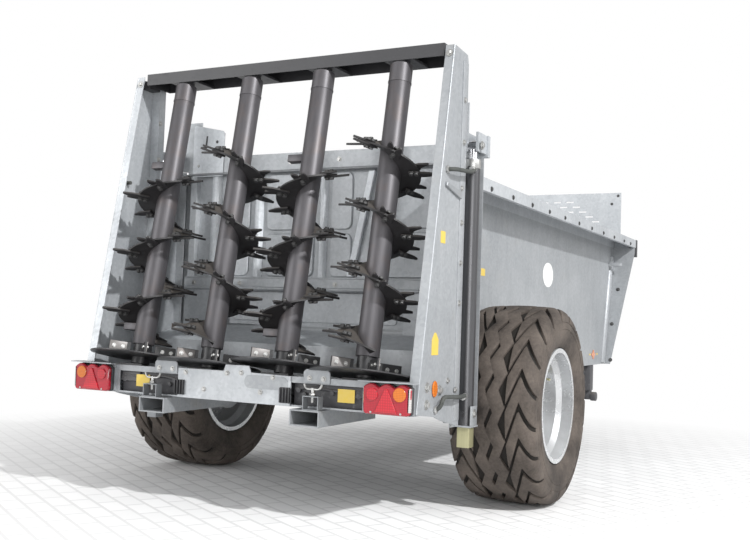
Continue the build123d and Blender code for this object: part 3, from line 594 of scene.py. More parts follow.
def addTyres():
    s = tyreSettings
    pitch = 2 * math.pi * s["radius"] / s["lugs"]
    blockDepth = s["grooveDepth"] + s["rubberUnder"]
    wheel = Matrix.Translation((s["track"], axleY, s["radius"]))

    # carcass: the outline lowered where the grooves are, with raised rings on the side
    outer = []
    for x, r in s["profile"]:
        sink = s["grooveDepth"] * min(1.0, max(0.0, (r - 0.425) / 0.03))
        outer.append((x - (0.5 * sink if x > 0.19 else 0), r - sink * (1 if x < 0.19 else 0.6)))
    rings = s["sideRings"]
    side = [p for p in outer if p[1] > rings[0][1]] + rings + [p for p in outer if p[1] < rings[-1][1]]
    half = side + [(0.1915, s["toe"]), (0.170, s["toe"])] + s["inside"]
    carcass = newRing(half + [(-x, r) for x, r in reversed(half) if x > 0], 152, wheel)

    # painted shade: a near-black bed in the grooves, just above the carcass
    band = [(x, r + 0.0012) for x, r in outer if x < 0.222]
    shadeBed = band + [(x * 0.985, r - 0.004) for x, r in reversed(band)]
    shadeBed = joined([newRing(shadeBed + [(-x, r) for x, r in reversed(shadeBed) if x > 0], 152, wheel)], "grooveShadeBedRight")

    # shoulder lugs: a chevron with its tip leading
    def lugPoint(across, down):
        arc = s["lugEdge"][round(across * (len(s["lugEdge"]) - 1))][0]
        return onTyre(arc, -through(s["lugEdge"], arc) - down * (pitch - through(s["lugTrail"], arc)))

    lug = newSheet(len(s["lugEdge"]) - 1, 4, lugPoint)
    thickened(lug, blockDepth, -1, 0.003)
    parts = []
    step = 2 * math.pi / s["lugs"]
    for side, shift in ((1, 0.0), (-1, 0.5)):
        flip = Matrix.Scale(side, 4, (1, 0, 0))
        parts += copyTo(lug, [wheel @ Matrix.Rotation(-(k + shift) * step, 4, "X") @ flip
                              for k in range(s["lugs"])])
    remove(lug)

    # two zigzag ribs in the middle
    quarters = s["lugs"] * 4
    for side in (1, -1):
        def ribPoint(across, down):
            row = round(down * quarters)
            swing = s["ribSwing"] * (1, 0, -1, 0)[row % 4]
            edge = (across - 0.5) * s["ribWidth"]
            shift = s["ribShift"] * (across - 0.5)
            return onTyre(side * s["ribCentre"] + swing + edge, row * pitch / 4 + shift)
        rib = newSheet(2, quarters, ribPoint)
        rib.matrix_world = wheel
        thickened(rib, blockDepth, -1, 0.0025)
        parts.append(rib)

    right = joined([carcass] + parts, "tyreRight")
    turnOutwards(right)
    left = mirrored(right, "tyreLeft")
    turnOutwards(shadeBed)
    shadeBedLeft = mirrored(shadeBed, "grooveShadeBedLeft")
    for tread, groove, side in ((right, shadeBed, "right"), (left, shadeBedLeft, "left")):
        finished(groove, groovePaintedShade, "wheel_" + side, 34)
        finished(tread, tyreRubber, "wheel_" + side, 34)
        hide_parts("tyre_" + side)
    print("tyres:", len(right.data.polygons), "faces each")


addTyres()

# beaters: a tube with a spiral flight that carries pairs of teeth
beaterSettings = {
    "lean": math.radians(10.44),
    "tube": 0.054,
    "skirt": 0.0545,
    "length": 1.365,
    "pin": 0.022,
    "flight": 0.150,
    "sheet": 0.008,
    "blade": 0.010,
    "pitch": 0.300,
    "foot": 0.014,
    "toothStep": 60.0,
    "toothFirst": 8.0,
    "tooth": [(0.098, -0.019), (0.098, 0.019), (0.180, 0.017), (0.232, 0.005), (0.232, -0.004),
              (0.196, -0.013)],
    "shortTooth": [(0.098, -0.017), (0.098, 0.017), (0.165, 0.014), (0.207, 0.003), (0.205, -0.005),
                   (0.170, -0.014)],
    "toothBolts": ((0.114, -7), (0.139, -5)),
    # hand of the spiral, azimuth and height above the ground of its upper end
    "table": ((1, 0, 1.605), (-1, 180, 1.758), (1, 0, 1.605), (-1, 180, 1.758)),
}


def beaterFoot(number):
    # where the beater's axis starts, which is where its joint is
    return next(j for j in frame["joints"] if j["name"] == f"beater_{number}_spin")["pos_m"]


def finishedOnBeater(piece, material, number, angle=32):
    # a piece modelled on an upright axis, moved to the beater's own leaning one
    place = Matrix.Translation(beaterFoot(number)) @ Matrix.Rotation(-beaterSettings["lean"], 4, "X")
    turnOutwards(placed(piece, place))
    finished(piece, material, f"beater_unit_{number}", angle)


def addBeater(number, hand, startAngle, startHeight):
    s = beaterSettings
    drop = (startHeight - beaterFoot(number)[2]) / math.cos(s["lean"])
    turning = (drop - s["foot"]) / s["pitch"] * 360
    top = s["length"]
    upright = turned(-90, "Y")

    # tube, pin, weld seam, and the skirt round the bearing's housing
    parts = [newRod(s["tube"], (0, 0, 0), (0, 0, top), 48, 0.003),
             newRod(s["pin"], (0, 0, top - 0.01), (0, 0, top + 0.044), 24),
             newRing([(top - 0.06, s["tube"] + 0.002), (top - 0.06, s["tube"] - 0.004),
                      (top - 0.052, s["tube"] - 0.004), (top - 0.052, s["tube"] + 0.002)], 48, upright),
             newRing([(top - 0.056, s["skirt"]), (top + 0.031, s["skirt"]), (top + 0.035, s["skirt"] - 0.004),
                      (top + 0.035, s["skirt"] - 0.008), (top - 0.056, s["skirt"] - 0.008)], 48, upright)]
    if hand > 0:
        # square drivers welded to the tube, above the flight and below it
        parts += [newBlock((-0.132, -0.020, z - 0.018), (-0.045, 0.020, z + 0.018), 0.003)
                  for z in (0.090, 0.955)]
    barrel = joined(parts, f"beaterTube{number}")

    def onSpiral(degrees):
        # azimuth and height at so many degrees below the spiral's top
        return math.radians(startAngle - hand * degrees), s["foot"] + (turning - degrees) / 360 * s["pitch"]

    def flightPoint(across, down):
        azimuth, z = onSpiral(down * turning)
        radius = s["tube"] - 0.004 + across * (s["flight"] - s["tube"] + 0.004)
        return Vector((radius * math.cos(azimuth), radius * math.sin(azimuth), z))

    flight = newSheet(2, round(turning / 7.5), flightPoint)
    thickened(flight, s["sheet"], 0, 0)

    # a long and a short tooth back to back at each step, with two bolts through both
    long = newPlate(s["tooth"], s["blade"], Matrix.Identity(4), 0.0015)
    short = newPlate(s["shortTooth"], s["blade"], Matrix.Identity(4), 0.0015)
    bolt = boltMaster(0.011, 0.009, 1.25)
    slope = hand * math.atan(s["pitch"] / (2 * math.pi * s["flight"]))
    half = s["sheet"] / 2
    longPlaces, shortPlaces, boltPlaces = [], [], []
    degrees = s["toothFirst"]
    while degrees < turning - 12:
        azimuth, z = onSpiral(degrees)
        at = Matrix.Translation((0, 0, z)) @ Matrix.Rotation(azimuth, 4, "Z") @ Matrix.Rotation(slope, 4, "X")
        longPlaces.append(at @ Matrix.Translation((0, 0, -half - s["blade"])))
        shortPlaces.append(at @ turned(-15, "Z") @ Matrix.Translation((0, 0, half)))
        for radius, turn in s["toothBolts"]:
            spot = at @ turned(turn, "Z") @ Matrix.Translation((radius, 0, 0))
            boltPlaces.append(spot @ Matrix.Translation((0, 0, half + s["blade"])))
            boltPlaces.append(spot @ Matrix.Translation((0, 0, -half - s["blade"])) @ turned(180, "X"))
        degrees += s["toothStep"]
    spiral = joined([flight] + copyTo(long, longPlaces) + copyTo(short, shortPlaces), f"beaterSpiral{number}")
    bolts = joined(copyTo(bolt, boltPlaces), f"beaterBolts{number}")
    remove(long, short, bolt)

    for piece, material in ((barrel, beaterSteel), (spiral, flightSteel), (bolts, darkBolt)):
        finishedOnBeater(piece, material, number, 35)
    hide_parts(f"beater_{number}")
    print("beater", number, "teeth", len(longPlaces), "faces",
          len(spiral.data.polygons) + len(bolts.data.polygons))


for number, (hand, startAngle, startHeight) in enumerate(beaterSettings["table"], 1):
    addBeater(number, hand, startAngle, startHeight)


# places and outlines for the small pieces
def at(x, y, z):
    # a point with its Y from the axle
    return Vector((x, axleY + y, z))


def rearFace(x, y, z):
    # a place on a face that looks backwards: across is X, up is Z
    return Matrix.Translation(at(x, y, z)) @ turned(90, "X")


def sideFace(x, y, z):
    # a place on a face that looks to the right: across is forward, up is Z
    return Matrix.Translation(at(x, y, z)) @ turned(90, "Z") @ turned(90, "X")


def ovalOf(across, up, steps=32):
    return [(across * math.cos(2 * math.pi * k / steps), up * math.sin(2 * math.pi * k / steps))
            for k in range(steps)]


def roundedOf(across, up, radius):
    # a rectangle of these half sizes with round corners
    points = []
    for sx, sy, start in ((1, 1, 0), (-1, 1, 90), (-1, -1, 180), (1, -1, 270)):
        for k in range(6):
            angle = math.radians(start + 18 * k)
            points.append((sx * (across - radius) + radius * math.cos(angle),
                           sy * (up - radius) + radius * math.sin(angle)))
    return points


def newPipe(points, radius, bend=0.03):
    # a bent tube through points, with round bends
    curve = bpy.data.curves.new("pipe", "CURVE")
    curve.dimensions = "3D"
    curve.bevel_depth = radius
    curve.bevel_resolution = 4
    curve.resolution_u = 8
    curve.use_fill_caps = True
    points = [Vector(point) for point in points]
    route = [points[0]]
    for before, corner, after in zip(points, points[1:], points[2:]):
        for k in range(7):
            share = k / 6
            first = corner + (before - corner).normalized() * bend * (1 - share)
            second = corner + (after - corner).normalized() * bend * share
            route.append(first.lerp(second, share))
    route.append(points[-1])
    spline = curve.splines.new("POLY")
    spline.points.add(len(route) - 1)
    for point, place in zip(spline.points, route):
        point.co = (*place, 1)
    piece = bpy.data.objects.new("pipe", curve)
    bpy.context.scene.collection.objects.link(piece)
    activate(piece)
    bpy.ops.object.convert(target="MESH")
    return bpy.context.object


# rear lamps
lampSettings = {
    "half": 0.1125,
    "low": -0.0665,
    "high": 0.0665,
    "depth": 0.045,
    "corner": 0.010,
    "scallop": 0.018,
    "steps": 24,
    "triangle": [(-0.052, -0.056), (0.052, -0.056), (0.006, 0.044), (-0.006, 0.044)],
}


def addLamps():
    s = lampSettings
    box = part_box("rear_lamps")
    x = max(c.x for c in box) - s["half"]
    z = (max(c.z for c in box) + min(c.z for c in box)) / 2
    face = min(c.y for c in box) - axleY
    outline = []
    for k in range(s["steps"] + 1):
        share = k / s["steps"]
        sag = s["scallop"] * (1 - abs(math.sin(3 * math.pi * share)))
        outline.append((s["half"] * (1 - 2 * share), s["high"] - sag))
    low, inset = s["low"], s["half"] - s["corner"]
    outline += [(-s["half"] + 0.002, low + s["corner"]), (-inset, low), (inset, low),
                (s["half"] - 0.002, low + s["corner"])]
    inner = [(0.985 * a, 0.985 * b) for a, b in outline]
    pin = newRod(0.0045, (0, 0, 0), (0, 0, 0.004), 12, 0.001)
    for name, parts, material in (
            ("lampBase", [newPlate(outline, 0.018, rearFace(x, face + s["depth"], z), 0.002)], darkPaint),
            ("lampLens", [newPlate(inner, 0.024, rearFace(x, face + 0.027, z), 0.005)], redLens),
            ("lampAmber", [newPlate(ovalOf(0.030, 0.030), 0.006,
                                    rearFace(x + 0.063, face + 0.0035, z + 0.022), 0.002)], amberLens),
            ("lampRound", [newPlate(ovalOf(0.027, 0.027), 0.006,
                                    rearFace(x - 0.066, face + 0.0035, z + 0.018), 0.002)], redLight),
            ("lampTriangle", [newPlate(s["triangle"], 0.006, rearFace(x, face + 0.0032, z), 0.0015)],
             redLight),
            ("lampEdge", [newBlock(at(x + 0.098, face + 0.003, z - 0.05),
                                   at(x + 0.110, face + 0.026, z + 0.048), 0.002)], clearLens),
            ("lampScrews", copyTo(pin, [rearFace(x + dx, face + 0.003, z - 0.057)
                                        for dx in (-0.070, 0.070)]), zincBolt)):
        bothSides(joined(parts, name), material, "chassis")
    remove(pin)
    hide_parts("rear_lamps")


addLamps()

# rear cross-member: centre panel, tabs, recesses and clamp screws
rearSettings = {
    # forward of the axle
    "face": -1.165,
    "plateFace": -1.1585,
    "recess": -1.143,
    "cableDepth": -1.150,
    "clampFace": -1.195,
    # across and height
    "panel": [(-0.316, 0.520), (0.316, 0.520), (0.316, 0.655), (0.102, 0.660), (0.090, 0.690),
              (-0.042, 0.690), (-0.052, 0.660), (-0.316, 0.660)],
    "tab": [(-0.068, -0.030), (0.068, -0.030), (0.068, 0.020), (0.055, 0.032), (-0.055, 0.032),
            (-0.068, 0.020)],
    "tabs": (-0.390, 0.450),
    "pressing": (0.185, 0.618),
    "plates": (-0.537, 0.596),
    "plateHeight": 0.584,
    "slottedBlocks": (-0.302, 0.291),
    "back": (0.322, 0.676, 0.528, 0.634),       # inner and outer edge, foot and head
    "plugs": ((0.350, 0.050), (0.380, 0.030), (0.520, 0.046), (0.655, 0.040)),
    "cable": ((0.335, 0.60), (0.42, 0.612), (0.54, 0.60), (0.66, 0.606)),
    "clamp": 0.448,
    "wing": ((-0.045, 0.628), (-0.036, 0.606), (0.036, 0.606), (0.045, 0.628)),
    "bolts": [(-0.031, 0.649), (-0.161, 0.567), (0.156, 0.573), (0.048, 0.655), (0.223, 0.643),
              (-0.270, 0.640), (-0.43, 0.652), (-0.35, 0.652), (0.415, 0.652), (0.487, 0.652)],
}


def addRear():
    s = rearSettings
    face, recess, clampFace = s["face"], s["recess"], s["clampFace"]
    # centre panel with its raised middle, in lighter zinc as painted light
    panel = joined([newPlate(s["panel"], 0.006, rearFace(0, face, 0), 0.0015)], "centrePanel")
    finished(panel, galvanisedPaintedLight)
    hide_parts("centre_panel")
    x, z = s["pressing"]
    pressed = newPlate(roundedOf(0.118, 0.030, 0.028), 0.002, rearFace(x, face - 0.006, z), 0.0008)
    finished(joined([pressed], "panelPressing"), galvanised)
    tabs = [newPlate(s["tab"], 0.006, rearFace(x, face, 0.660), 0.0015) for x in s["tabs"]]
    finished(joined(tabs, "rearTabs"), galvanised)

    # dark backs of the two recesses, with blank plates
    backs = []
    inner, outer, foot, head = s["back"]
    for side in (-1, 1):
        low, high = sorted((side * inner, side * outer))
        backs.append(newBlock(at(low, recess, foot), at(high, recess + 0.004, head), 0.001))
        for x, height in s["plugs"]:
            backs.append(newRod(0.012, at(side * x, recess, 0.545 + height),
                                at(side * x, recess - 0.015, 0.545 + height), 20, 0.002))
        backs.append(newPipe([at(side * x, s["cableDepth"], z) for x, z in s["cable"]], 0.006))
    finished(joined(backs, "recessBacks"), castPaint)
    plates = [newPlate(roundedOf(0.042, 0.029, 0.003), 0.0015,
                       rearFace(x, s["plateFace"], s["plateHeight"]), 0) for x in s["plates"]]
    finished(joined(plates, "recessPlates"), yellowSign)
    feet = [newBlock(at(x - 0.030, s["plateFace"], 0.560), at(x + 0.030, recess, 0.608), 0.001)
            for x in s["plates"]]
    finished(joined(feet, "recessPlateFeet"), darkPaint)

    # slotted blocks at the panel's ends
    grilles = []
    for x in s["slottedBlocks"]:
        grilles.append(newBlock(at(x - 0.027, face - 0.010, 0.533),
                                at(x + 0.027, face - 0.006, 0.604), 0.001))
        for k in range(4):
            fin = x - 0.024 + k * 0.016
            grilles.append(newBlock(at(fin - 0.003, face - 0.018, 0.535),
                                    at(fin + 0.003, face - 0.008, 0.602), 0.001))
    finished(joined(grilles, "slottedBlocks"), darkPaint)

    # wing screws that clamp the short square tubes
    clamps = []
    for side in (-1, 1):
        x = side * s["clamp"]
        clamps.append(newRod(0.008, at(x, clampFace, 0.548), at(x, clampFace, 0.612), 16, 0.001))
        clamps.append(newRod(0.015, at(x, clampFace, 0.577), at(x, clampFace, 0.590), 6, 0.002))
        clamps.append(newPipe([at(x + dx, clampFace, z) for dx, z in s["wing"]], 0.005, 0.014))
    finished(joined(clamps, "clampScrews"), zincBolt)
    boltsAt([rearFace(x, face - 0.006, z) for x, z in s["bolts"]], 0.0085, 0.006, "rearBolts", zincBolt)


addRear()
print("rear lamps and cross-member")

# side plates and the gate's cylinders: bolts, signs, pipes and clevises
sideSettings = {
    "face": 0.930,
    "back": 0.875,           # the flange's inner edge
    "cylinder": -0.585,
    "bolts": [(-0.730, 1.543), (-0.720, 1.383), (-0.718, 1.196), (-0.720, 1.010), (-0.825, 0.657),
              (-0.740, 0.611), (-0.718, 1.760), (-0.718, 1.960)],
    "largeBolts": [(-1.052, 0.637), (-1.052, 0.563), (-0.912, 0.618)],
    "gusset": [(-0.921, 1.530), (-0.742, 1.490), (-0.742, 1.524), (-0.915, 1.548)],
    "film": 0.0012,          # thickness of the blank signs
    # forward of the axle and height: signs, reflector and the cylinder's two pins
    "upperSign": (-0.925, 1.298),
    "lowerSign": (-0.978, 0.823),
    "reflector": (-0.974, 0.627),
    "footPin": (-0.585, 0.495),
    "headPin": (-0.585, 1.768),
    "lowerPlate": [(-0.036, -0.048), (0.036, -0.048), (0.036, 0.020), (0.008, 0.050), (-0.008, 0.050),
                   (-0.036, 0.020)],
    "upperPipe": [(0.90, -0.905, 1.606), (0.968, -0.905, 1.606), (0.972, -0.70, 1.622),
                  (0.955, -0.625, 1.650)],
    "lowerPipe": [(0.90, -0.960, 0.535), (0.955, -0.957, 0.535), (0.962, -0.948, 0.592),
                  (0.964, -0.76, 0.582), (0.940, -0.625, 0.578)],
}


def addSides():
    s = sideSettings
    face, lean = s["face"], beaterSettings["lean"]
    # painted highlight: a bright bead along the side plate's folded rear corner
    highlightBead = newRod(0.0035, at(face - 0.002, -1.1525, 0.528), at(face - 0.002, -0.850, 2.188), 12)
    bothSides(joined([highlightBead], "cornerHighlightBead"), galvanisedPaintedLight)
    strip = newBlock(at(face, -0.745, 0.470), at(face + 0.003, -0.682, 2.140), 0.001)
    bothSides(joined([strip], "coverStrip"), galvanised)
    # gusset in the darker zinc, whose colour carries painted shade
    gusset = newPlate(s["gusset"], 0.012, sideFace(face, 0, 0), 0.002)
    bothSides(joined([gusset], "gusset"), galvanisedPaintedShadeDusty)

    boltsOnBothSides([sideFace(face + (0.003 if y > -0.745 else 0), y, z) for y, z in s["bolts"]],
                     0.0095, 0.007, "sideBolts", zincBolt)
    boltsOnBothSides([facing(at(s["back"], y, z), (-1, 0, 0)) for y, z in s["bolts"]],
                     0.0095, 0.008, "sideNuts", zincBolt)
    boltsOnBothSides([facing(at(0.905, -0.858, 2.150), (0, -math.cos(lean), math.sin(lean)))],
                     0.012, 0.010, "topBolt", zincBolt)
    boltsOnBothSides([sideFace(face, y, z) for y, z in s["largeBolts"]], 0.015, 0.012, "plateBolts", zincBolt)

    # blank plates and the side reflector
    signs = [newPlate(roundedOf(0.026, 0.027, 0.003), s["film"], sideFace(face, *s["upperSign"]), 0),
             newPlate(s["lowerPlate"], s["film"], sideFace(face, *s["lowerSign"]), 0)]
    bothSides(joined(signs, "blankPlates"), yellowSign)
    reflector = newPlate(ovalOf(0.026, 0.036), 0.008, sideFace(face, *s["reflector"]), 0.003)
    bothSides(joined([reflector], "sideReflector"), amberLens)

    # bent steel pipes to the cylinder's two ports
    pipes = [newPipe([at(*point) for point in s["upperPipe"]], 0.010, 0.045),
             newPipe([at(*point) for point in s["lowerPipe"]], 0.010, 0.035)]
    bothSides(joined(pipes, "cylinderPipes"), hoseRubber)
    fittings = [newRod(0.017, at(face, y, z), at(face + 0.012, y, z), 6, 0.002)
                for x, y, z in (s["upperPipe"][0], s["lowerPipe"][0])]
    fittings += [newRod(0.015, at(x, -0.668, z - 0.006), at(x - 0.006, -0.618, z), 6, 0.002)
                 for x, z in ((0.957, 1.648), (0.943, 0.578))]
    fittings.append(newRod(0.0385, at(face, s["cylinder"], 1.655), at(face, s["cylinder"], 1.700), 40, 0.003))
    bothSides(joined(fittings, "pipeFittings"), zincBolt)

    # clevis at the cylinder's foot, pins at both ends, pale stub under it
    ears = [newBlock(at(x - 0.003, -0.622, 0.438), at(x + 0.003, -0.548, 0.530)) for x in (0.891, 0.9675)]
    bothSides(joined(ears, "footEars"), galvanised)
    boltsOnBothSides([sideFace(0.9705, *s["footPin"])], 0.014, 0.009, "footPins", zincBolt)
    boltsOnBothSides([sideFace(0.973, *s["headPin"])], 0.014, 0.009, "headPins", zincBolt, "gate_unit")
    stub = newBlock(at(0.8995, -0.6155, 0.3345), at(0.9605, -0.5545, 0.4295))
    leftStub = bothSides(joined([stub], "stubSleeve"), yellowZinc)
    # the left stub takes the darker zinc, whose colour carries painted shade, instead of the yellow
    leftStub.data.materials[0] = galvanisedPaintedShadeDusty


addSides()
print("side plates")

# walls and coamings: bolts, caps, tags and reflectors
wallSettings = {
    "wall": 0.755,
    "coaming": 0.935,
    "boltRow": [-0.335 + k * 0.3335 for k in range(10)] + [2.90],
    "boltHeight": 1.593,
    "film": 0.0015,          # thickness of the blank signs
    # forward of the axle and height: signs and reflector
    "oval": (1.263, 1.248),
    "upperTag": (0.04, 1.197),
    "lowerTags": ((2.40, 0.706), (2.62, 0.706)),
    "reflector": (2.50, 0.704),
    # half width, half height and thickness of the reflector's two bars
    "reflectorBars": ((0.050, 0.014, 0.004), (0.016, 0.034, 0.005)),
}


def addWalls():
    s = wallSettings
    wall, film = s["wall"], s["film"]
    boltsOnBothSides([sideFace(s["coaming"], y, s["boltHeight"]) for y in s["boltRow"]], 0.009, 0.006,
                     "coamingBolts", darkBolt)
    cap = newBlock(at(0.880, 3.108, 1.500), at(0.939, 3.1525, 1.641), 0.003)
    bothSides(joined([cap], "coamingCap"), darkPaint)

    oval = newPlate(ovalOf(0.112, 0.080, 48), film, sideFace(wall, *s["oval"]), 0)
    finished(joined([oval], "plainOval"), whiteSign)
    tags = [newPlate(roundedOf(0.045, 0.020, 0.004), film, sideFace(wall, *s["upperTag"]), 0)]
    tags += [newPlate(roundedOf(0.022, 0.006, 0.002), film, sideFace(wall, *spot), 0)
             for spot in s["lowerTags"]]
    bothSides(joined(tags, "wallTags"), yellowSign)
    star = [newPlate(roundedOf(across, up, 0.006), thickness, sideFace(wall, *s["reflector"]), 0.001)
            for across, up, thickness in s["reflectorBars"]]
    bothSides(joined(star, "wallReflector"), amberLens)


addWalls()
print("walls")

# gate: pressed panels, ribs, lips and the position plate
gateSettings = {
    "rear": -0.505,          # rear face of the gate's frame, from the axle
    "sheet": -0.470,
    "step": 1.063,
    "top": 1.700,
    "lip": 0.82,
    # centre and half width of the pressed panels, and the foot and head of their two rows
    "panels": ((-0.505, 0.085), (-0.155, 0.150), (0.160, 0.062), (0.545, 0.175)),
    "rows": ((1.385, 1.690), (1.135, 1.365)),
    "ribs": ((-0.650, 0.037), (-0.360, 0.030), (0.050, 0.024), (0.735, 0.030)),
    "slopedRib": [(0.205, 1.135), (0.245, 1.135), (0.358, 1.690), (0.318, 1.690)],
    "boltsAcross": (-0.76, -0.45, -0.15, 0.15, 0.45, 0.76),
    "boltRows": (1.094, 1.752),
    "positionPlate": [(-0.800, 1.690), (-0.590, 1.690), (-0.585, 1.930), (-0.600, 1.945), (-0.790, 1.985),
                      (-0.800, 1.980)],
    "hook": [(0.0, -0.03), (0.008, -0.03), (0.014, 0.04), (0.004, 0.04), (-0.003, -0.02), (-0.028, -0.02),
             (-0.030, -0.03)],
}


def addGate():
    s = gateSettings
    face, rear, lip = s["sheet"], s["rear"], s["lip"]
    # upper and lower rows of pressed panels, and folded ribs between them; the panels carry painted light and
    # the ribs a stronger painted highlight
    panels = [newPlate(roundedOf(half, (high - low) / 2, 0.035), 0.010,
                       rearFace(centre, face, (low + high) / 2), 0.004)
              for centre, half in s["panels"] for low, high in s["rows"]]
    finished(joined(panels, "gatePanels"), galvanisedMorePaintedLight, "gate_unit")
    ribs = []
    for x, width in s["ribs"]:
        section = [(-width, 0), (width, 0), (width * 0.45, 0.026), (-width * 0.45, 0.026)]
        place = Matrix.Translation(at(x, face, s["step"])) @ Matrix.Scale(-1, 4, (0, 1, 0))
        ribs.append(newPlate(section, s["top"] - s["step"], place, 0.002))
        turnOutwards(ribs[-1])
    ribs.append(newPlate(s["slopedRib"], 0.022, rearFace(0, face, 0), 0.004))
    finished(joined(ribs, "gateRibs"), galvanisedMostPaintedLight, "gate_unit")

    # middle channel with its edge and round lower lip, both lighter as painted highlight, and the lip under
    # the top beam, darker as painted shade
    channel = [newBlock(at(-lip, rear - 0.004, 1.122), at(lip, rear, 1.130), 0.002),
               newRod(0.010, at(-lip, rear - 0.004, 1.066), at(lip, rear - 0.004, 1.066), 20)]
    finished(joined(channel, "gateChannelLips"), galvanisedPaintedLight, "gate_unit")
    beam = newRod(0.008, at(-lip, rear - 0.002, 1.702), at(lip, rear - 0.002, 1.702), 20)
    finished(joined([beam], "gateBeamLip"), galvanisedPaintedShadeDusty, "gate_unit")
    # low panel in the lighter zinc: painted light
    low = newPlate(roundedOf(0.50, 0.080, 0.020), 0.006, rearFace(0, face, 0.972), 0.003)
    finished(joined([low], "gateLowPanel"), galvanisedMorePaintedLight, "gate_unit")
    boltsAt([rearFace(x, rear, z) for x in s["boltsAcross"] for z in s["boltRows"]], 0.009, 0.006,
            "gateBolts", zincBolt, "gate_unit")

    # position plate on the left: slanted top, in the lightest zinc as painted light, with its slots as dark
    # plugs of painted shade
    plate = newPlate(s["positionPlate"], 0.004, rearFace(0, rear - 0.001, 0), 0.001)
    finished(joined([plate], "positionPlate"), galvanisedMostPaintedLight, "gate_unit")
    arch = [(0.022 * math.cos(math.radians(a)), 0.030 * math.sin(math.radians(a))) for a in range(0, 181, 15)]
    slotShades = [newPlate(outline, 0.002, rearFace(x, rear - 0.005, z), 0)
             for outline, x, z in ((ovalOf(0.008, 0.009, 16), -0.637, 1.884), (arch, -0.637, 1.830),
                                   (s["hook"], -0.715, 1.880))]
    finished(joined(slotShades, "plateSlotShades"), castPaint, "gate_unit")


addGate()
print("gate")

# hull front: bolts, wall folds and the valve block
frontSettings = {
    "lean": math.radians(15.2),
    "postBolts": ((0.826, 1.225), (0.800, 0.944), (0.813, 0.658)),
    "guardBolts": ((0.790, 2.005), (-0.790, 2.005), (0.739, 1.938), (-0.739, 1.938)),
    "fold": (0.744, 2.790, 0.632),
    "foldHeight": 0.86,
}


def addFront():
    s = frontSettings
    slope = math.tan(s["lean"])
    back = Vector((0, -math.cos(s["lean"]), math.sin(s["lean"])))
    boltsOnBothSides([facing(at(x, 2.8152 + (z - 0.625) * slope, z), back) for x, z in s["postBolts"]],
                     0.010, 0.007, "postBolts", darkBolt)

    # rounded fold along the wall's front edge
    x, y, z = s["fold"]
    fold = newRod(0.032, at(x, y, z), at(x, y + s["foldHeight"] * slope, 1.492), 28, 0.002)
    bothSides(joined([fold], "wallFold"), galvanised)
    tab = newBlock(at(0.752, 2.93, 1.412), at(0.860, 2.955, 1.440), 0.003)
    bothSides(joined([tab], "wallTab"), galvanised)
    boltsAt([rearFace(x, 3.0752, z) for x, z in s["guardBolts"]], 0.0075, 0.005, "guardBolts", darkBolt)

    # black valve block under the right wall, with its round cap
    block = [newBlock(at(0.660, 2.440, 0.430), at(0.752, 2.530, 0.626), 0.006),
             newRod(0.034, at(0.745, 2.490, 0.385), at(0.790, 2.490, 0.385), 28, 0.006),
             newBlock(at(0.700, 2.465, 0.360), at(0.748, 2.515, 0.440), 0.005)]
    finished(joined(block, "valveBlock"), castPaint)


addFront()
print("front")

# wheel nuts, hub caps and valves
wheelSettings = {
    "disc": 1.0055,          # outer face of the wheel disc
    "height": 0.510,
    "bolts": 10,
    "circle": 0.120,
    "capFace": 1.0785,
    "cap": [(0.0, 0.066), (0.010, 0.066), (0.014, 0.062), (0.014, 0.052), (0.018, 0.048), (0.018, 0.004),
            (0.0, 0.004)],
    "collar": [(0.0, 0.0865), (0.0, 0.098), (0.010, 0.098), (0.013, 0.095), (0.013, 0.0865)],
    "weld": [(-0.002, 0.2435), (0.004, 0.2430), (0.008, 0.236), (-0.002, 0.232)],
    "valveAngle": 35.0,
    # radius and distance outside the disc
    "valve": ((0.236, 0.004), (0.226, 0.045), (0.212, 0.090)),
    "valveTip": ((0.2125, 0.088), (0.208, 0.104)),
}


def addWheels():
    s = wheelSettings

    def around(radius, degrees, x):
        angle = math.radians(degrees)
        centre = at(s["disc"], 0, s["height"])
        return Vector((x, centre.y + radius * math.cos(angle), centre.z + radius * math.sin(angle)))

    nut = boltMaster(0.0165, 0.020, 1.2)
    spots = [around(s["circle"], 360 / s["bolts"] * k, s["disc"]) for k in range(s["bolts"])]
    nuts = copyTo(nut, [facing(spot, (1, 0, 0)) for spot in spots])
    nuts += [newRod(0.010, spot, spot + Vector((0.031, 0, 0)), 16, 0.0015) for spot in spots]
    remove(nut)
    bothSides(joined(nuts, "wheelNuts"), zincBolt, "wheel_right")

    for name, profile, x, steps, material, slot in (
            ("hubCap", s["cap"], s["capFace"], 48, darkPaint, "dark_paint"),
            ("hubCollar", s["collar"], s["disc"], 64, rimPaint, "rim_paint"),
            ("discWeld", s["weld"], s["disc"], 72, rimPaint, "rim_paint")):
        ring = newRing(profile, steps, Matrix.Translation(at(x, 0, s["height"])))
        bothSides(joined([ring], name), material, "wheel_right")

    stem, tip = ([around(radius, s["valveAngle"], s["disc"] + out) for radius, out in s[key]]
                 for key in ("valve", "valveTip"))
    valve = [newPipe(stem, 0.0045, 0.012), newRod(0.0062, tip[0], tip[1], 16, 0.001)]
    bothSides(joined(valve, "tyreValve"), yellowZinc, "wheel_right")


addWheels()
print("wheel details")

# wear plates on the paddles of the throwing discs
paddleSettings = {
    "drops": (0.062, 0.082),     # how far the lower and the upper discs lie below the beater's foot
    "quarters": (45, 135, 225, 315),
    "plate": (0.078, 0.163),
    "foot": (0.070, 0.160),
    "bolts": (0.098, 0.142),
}


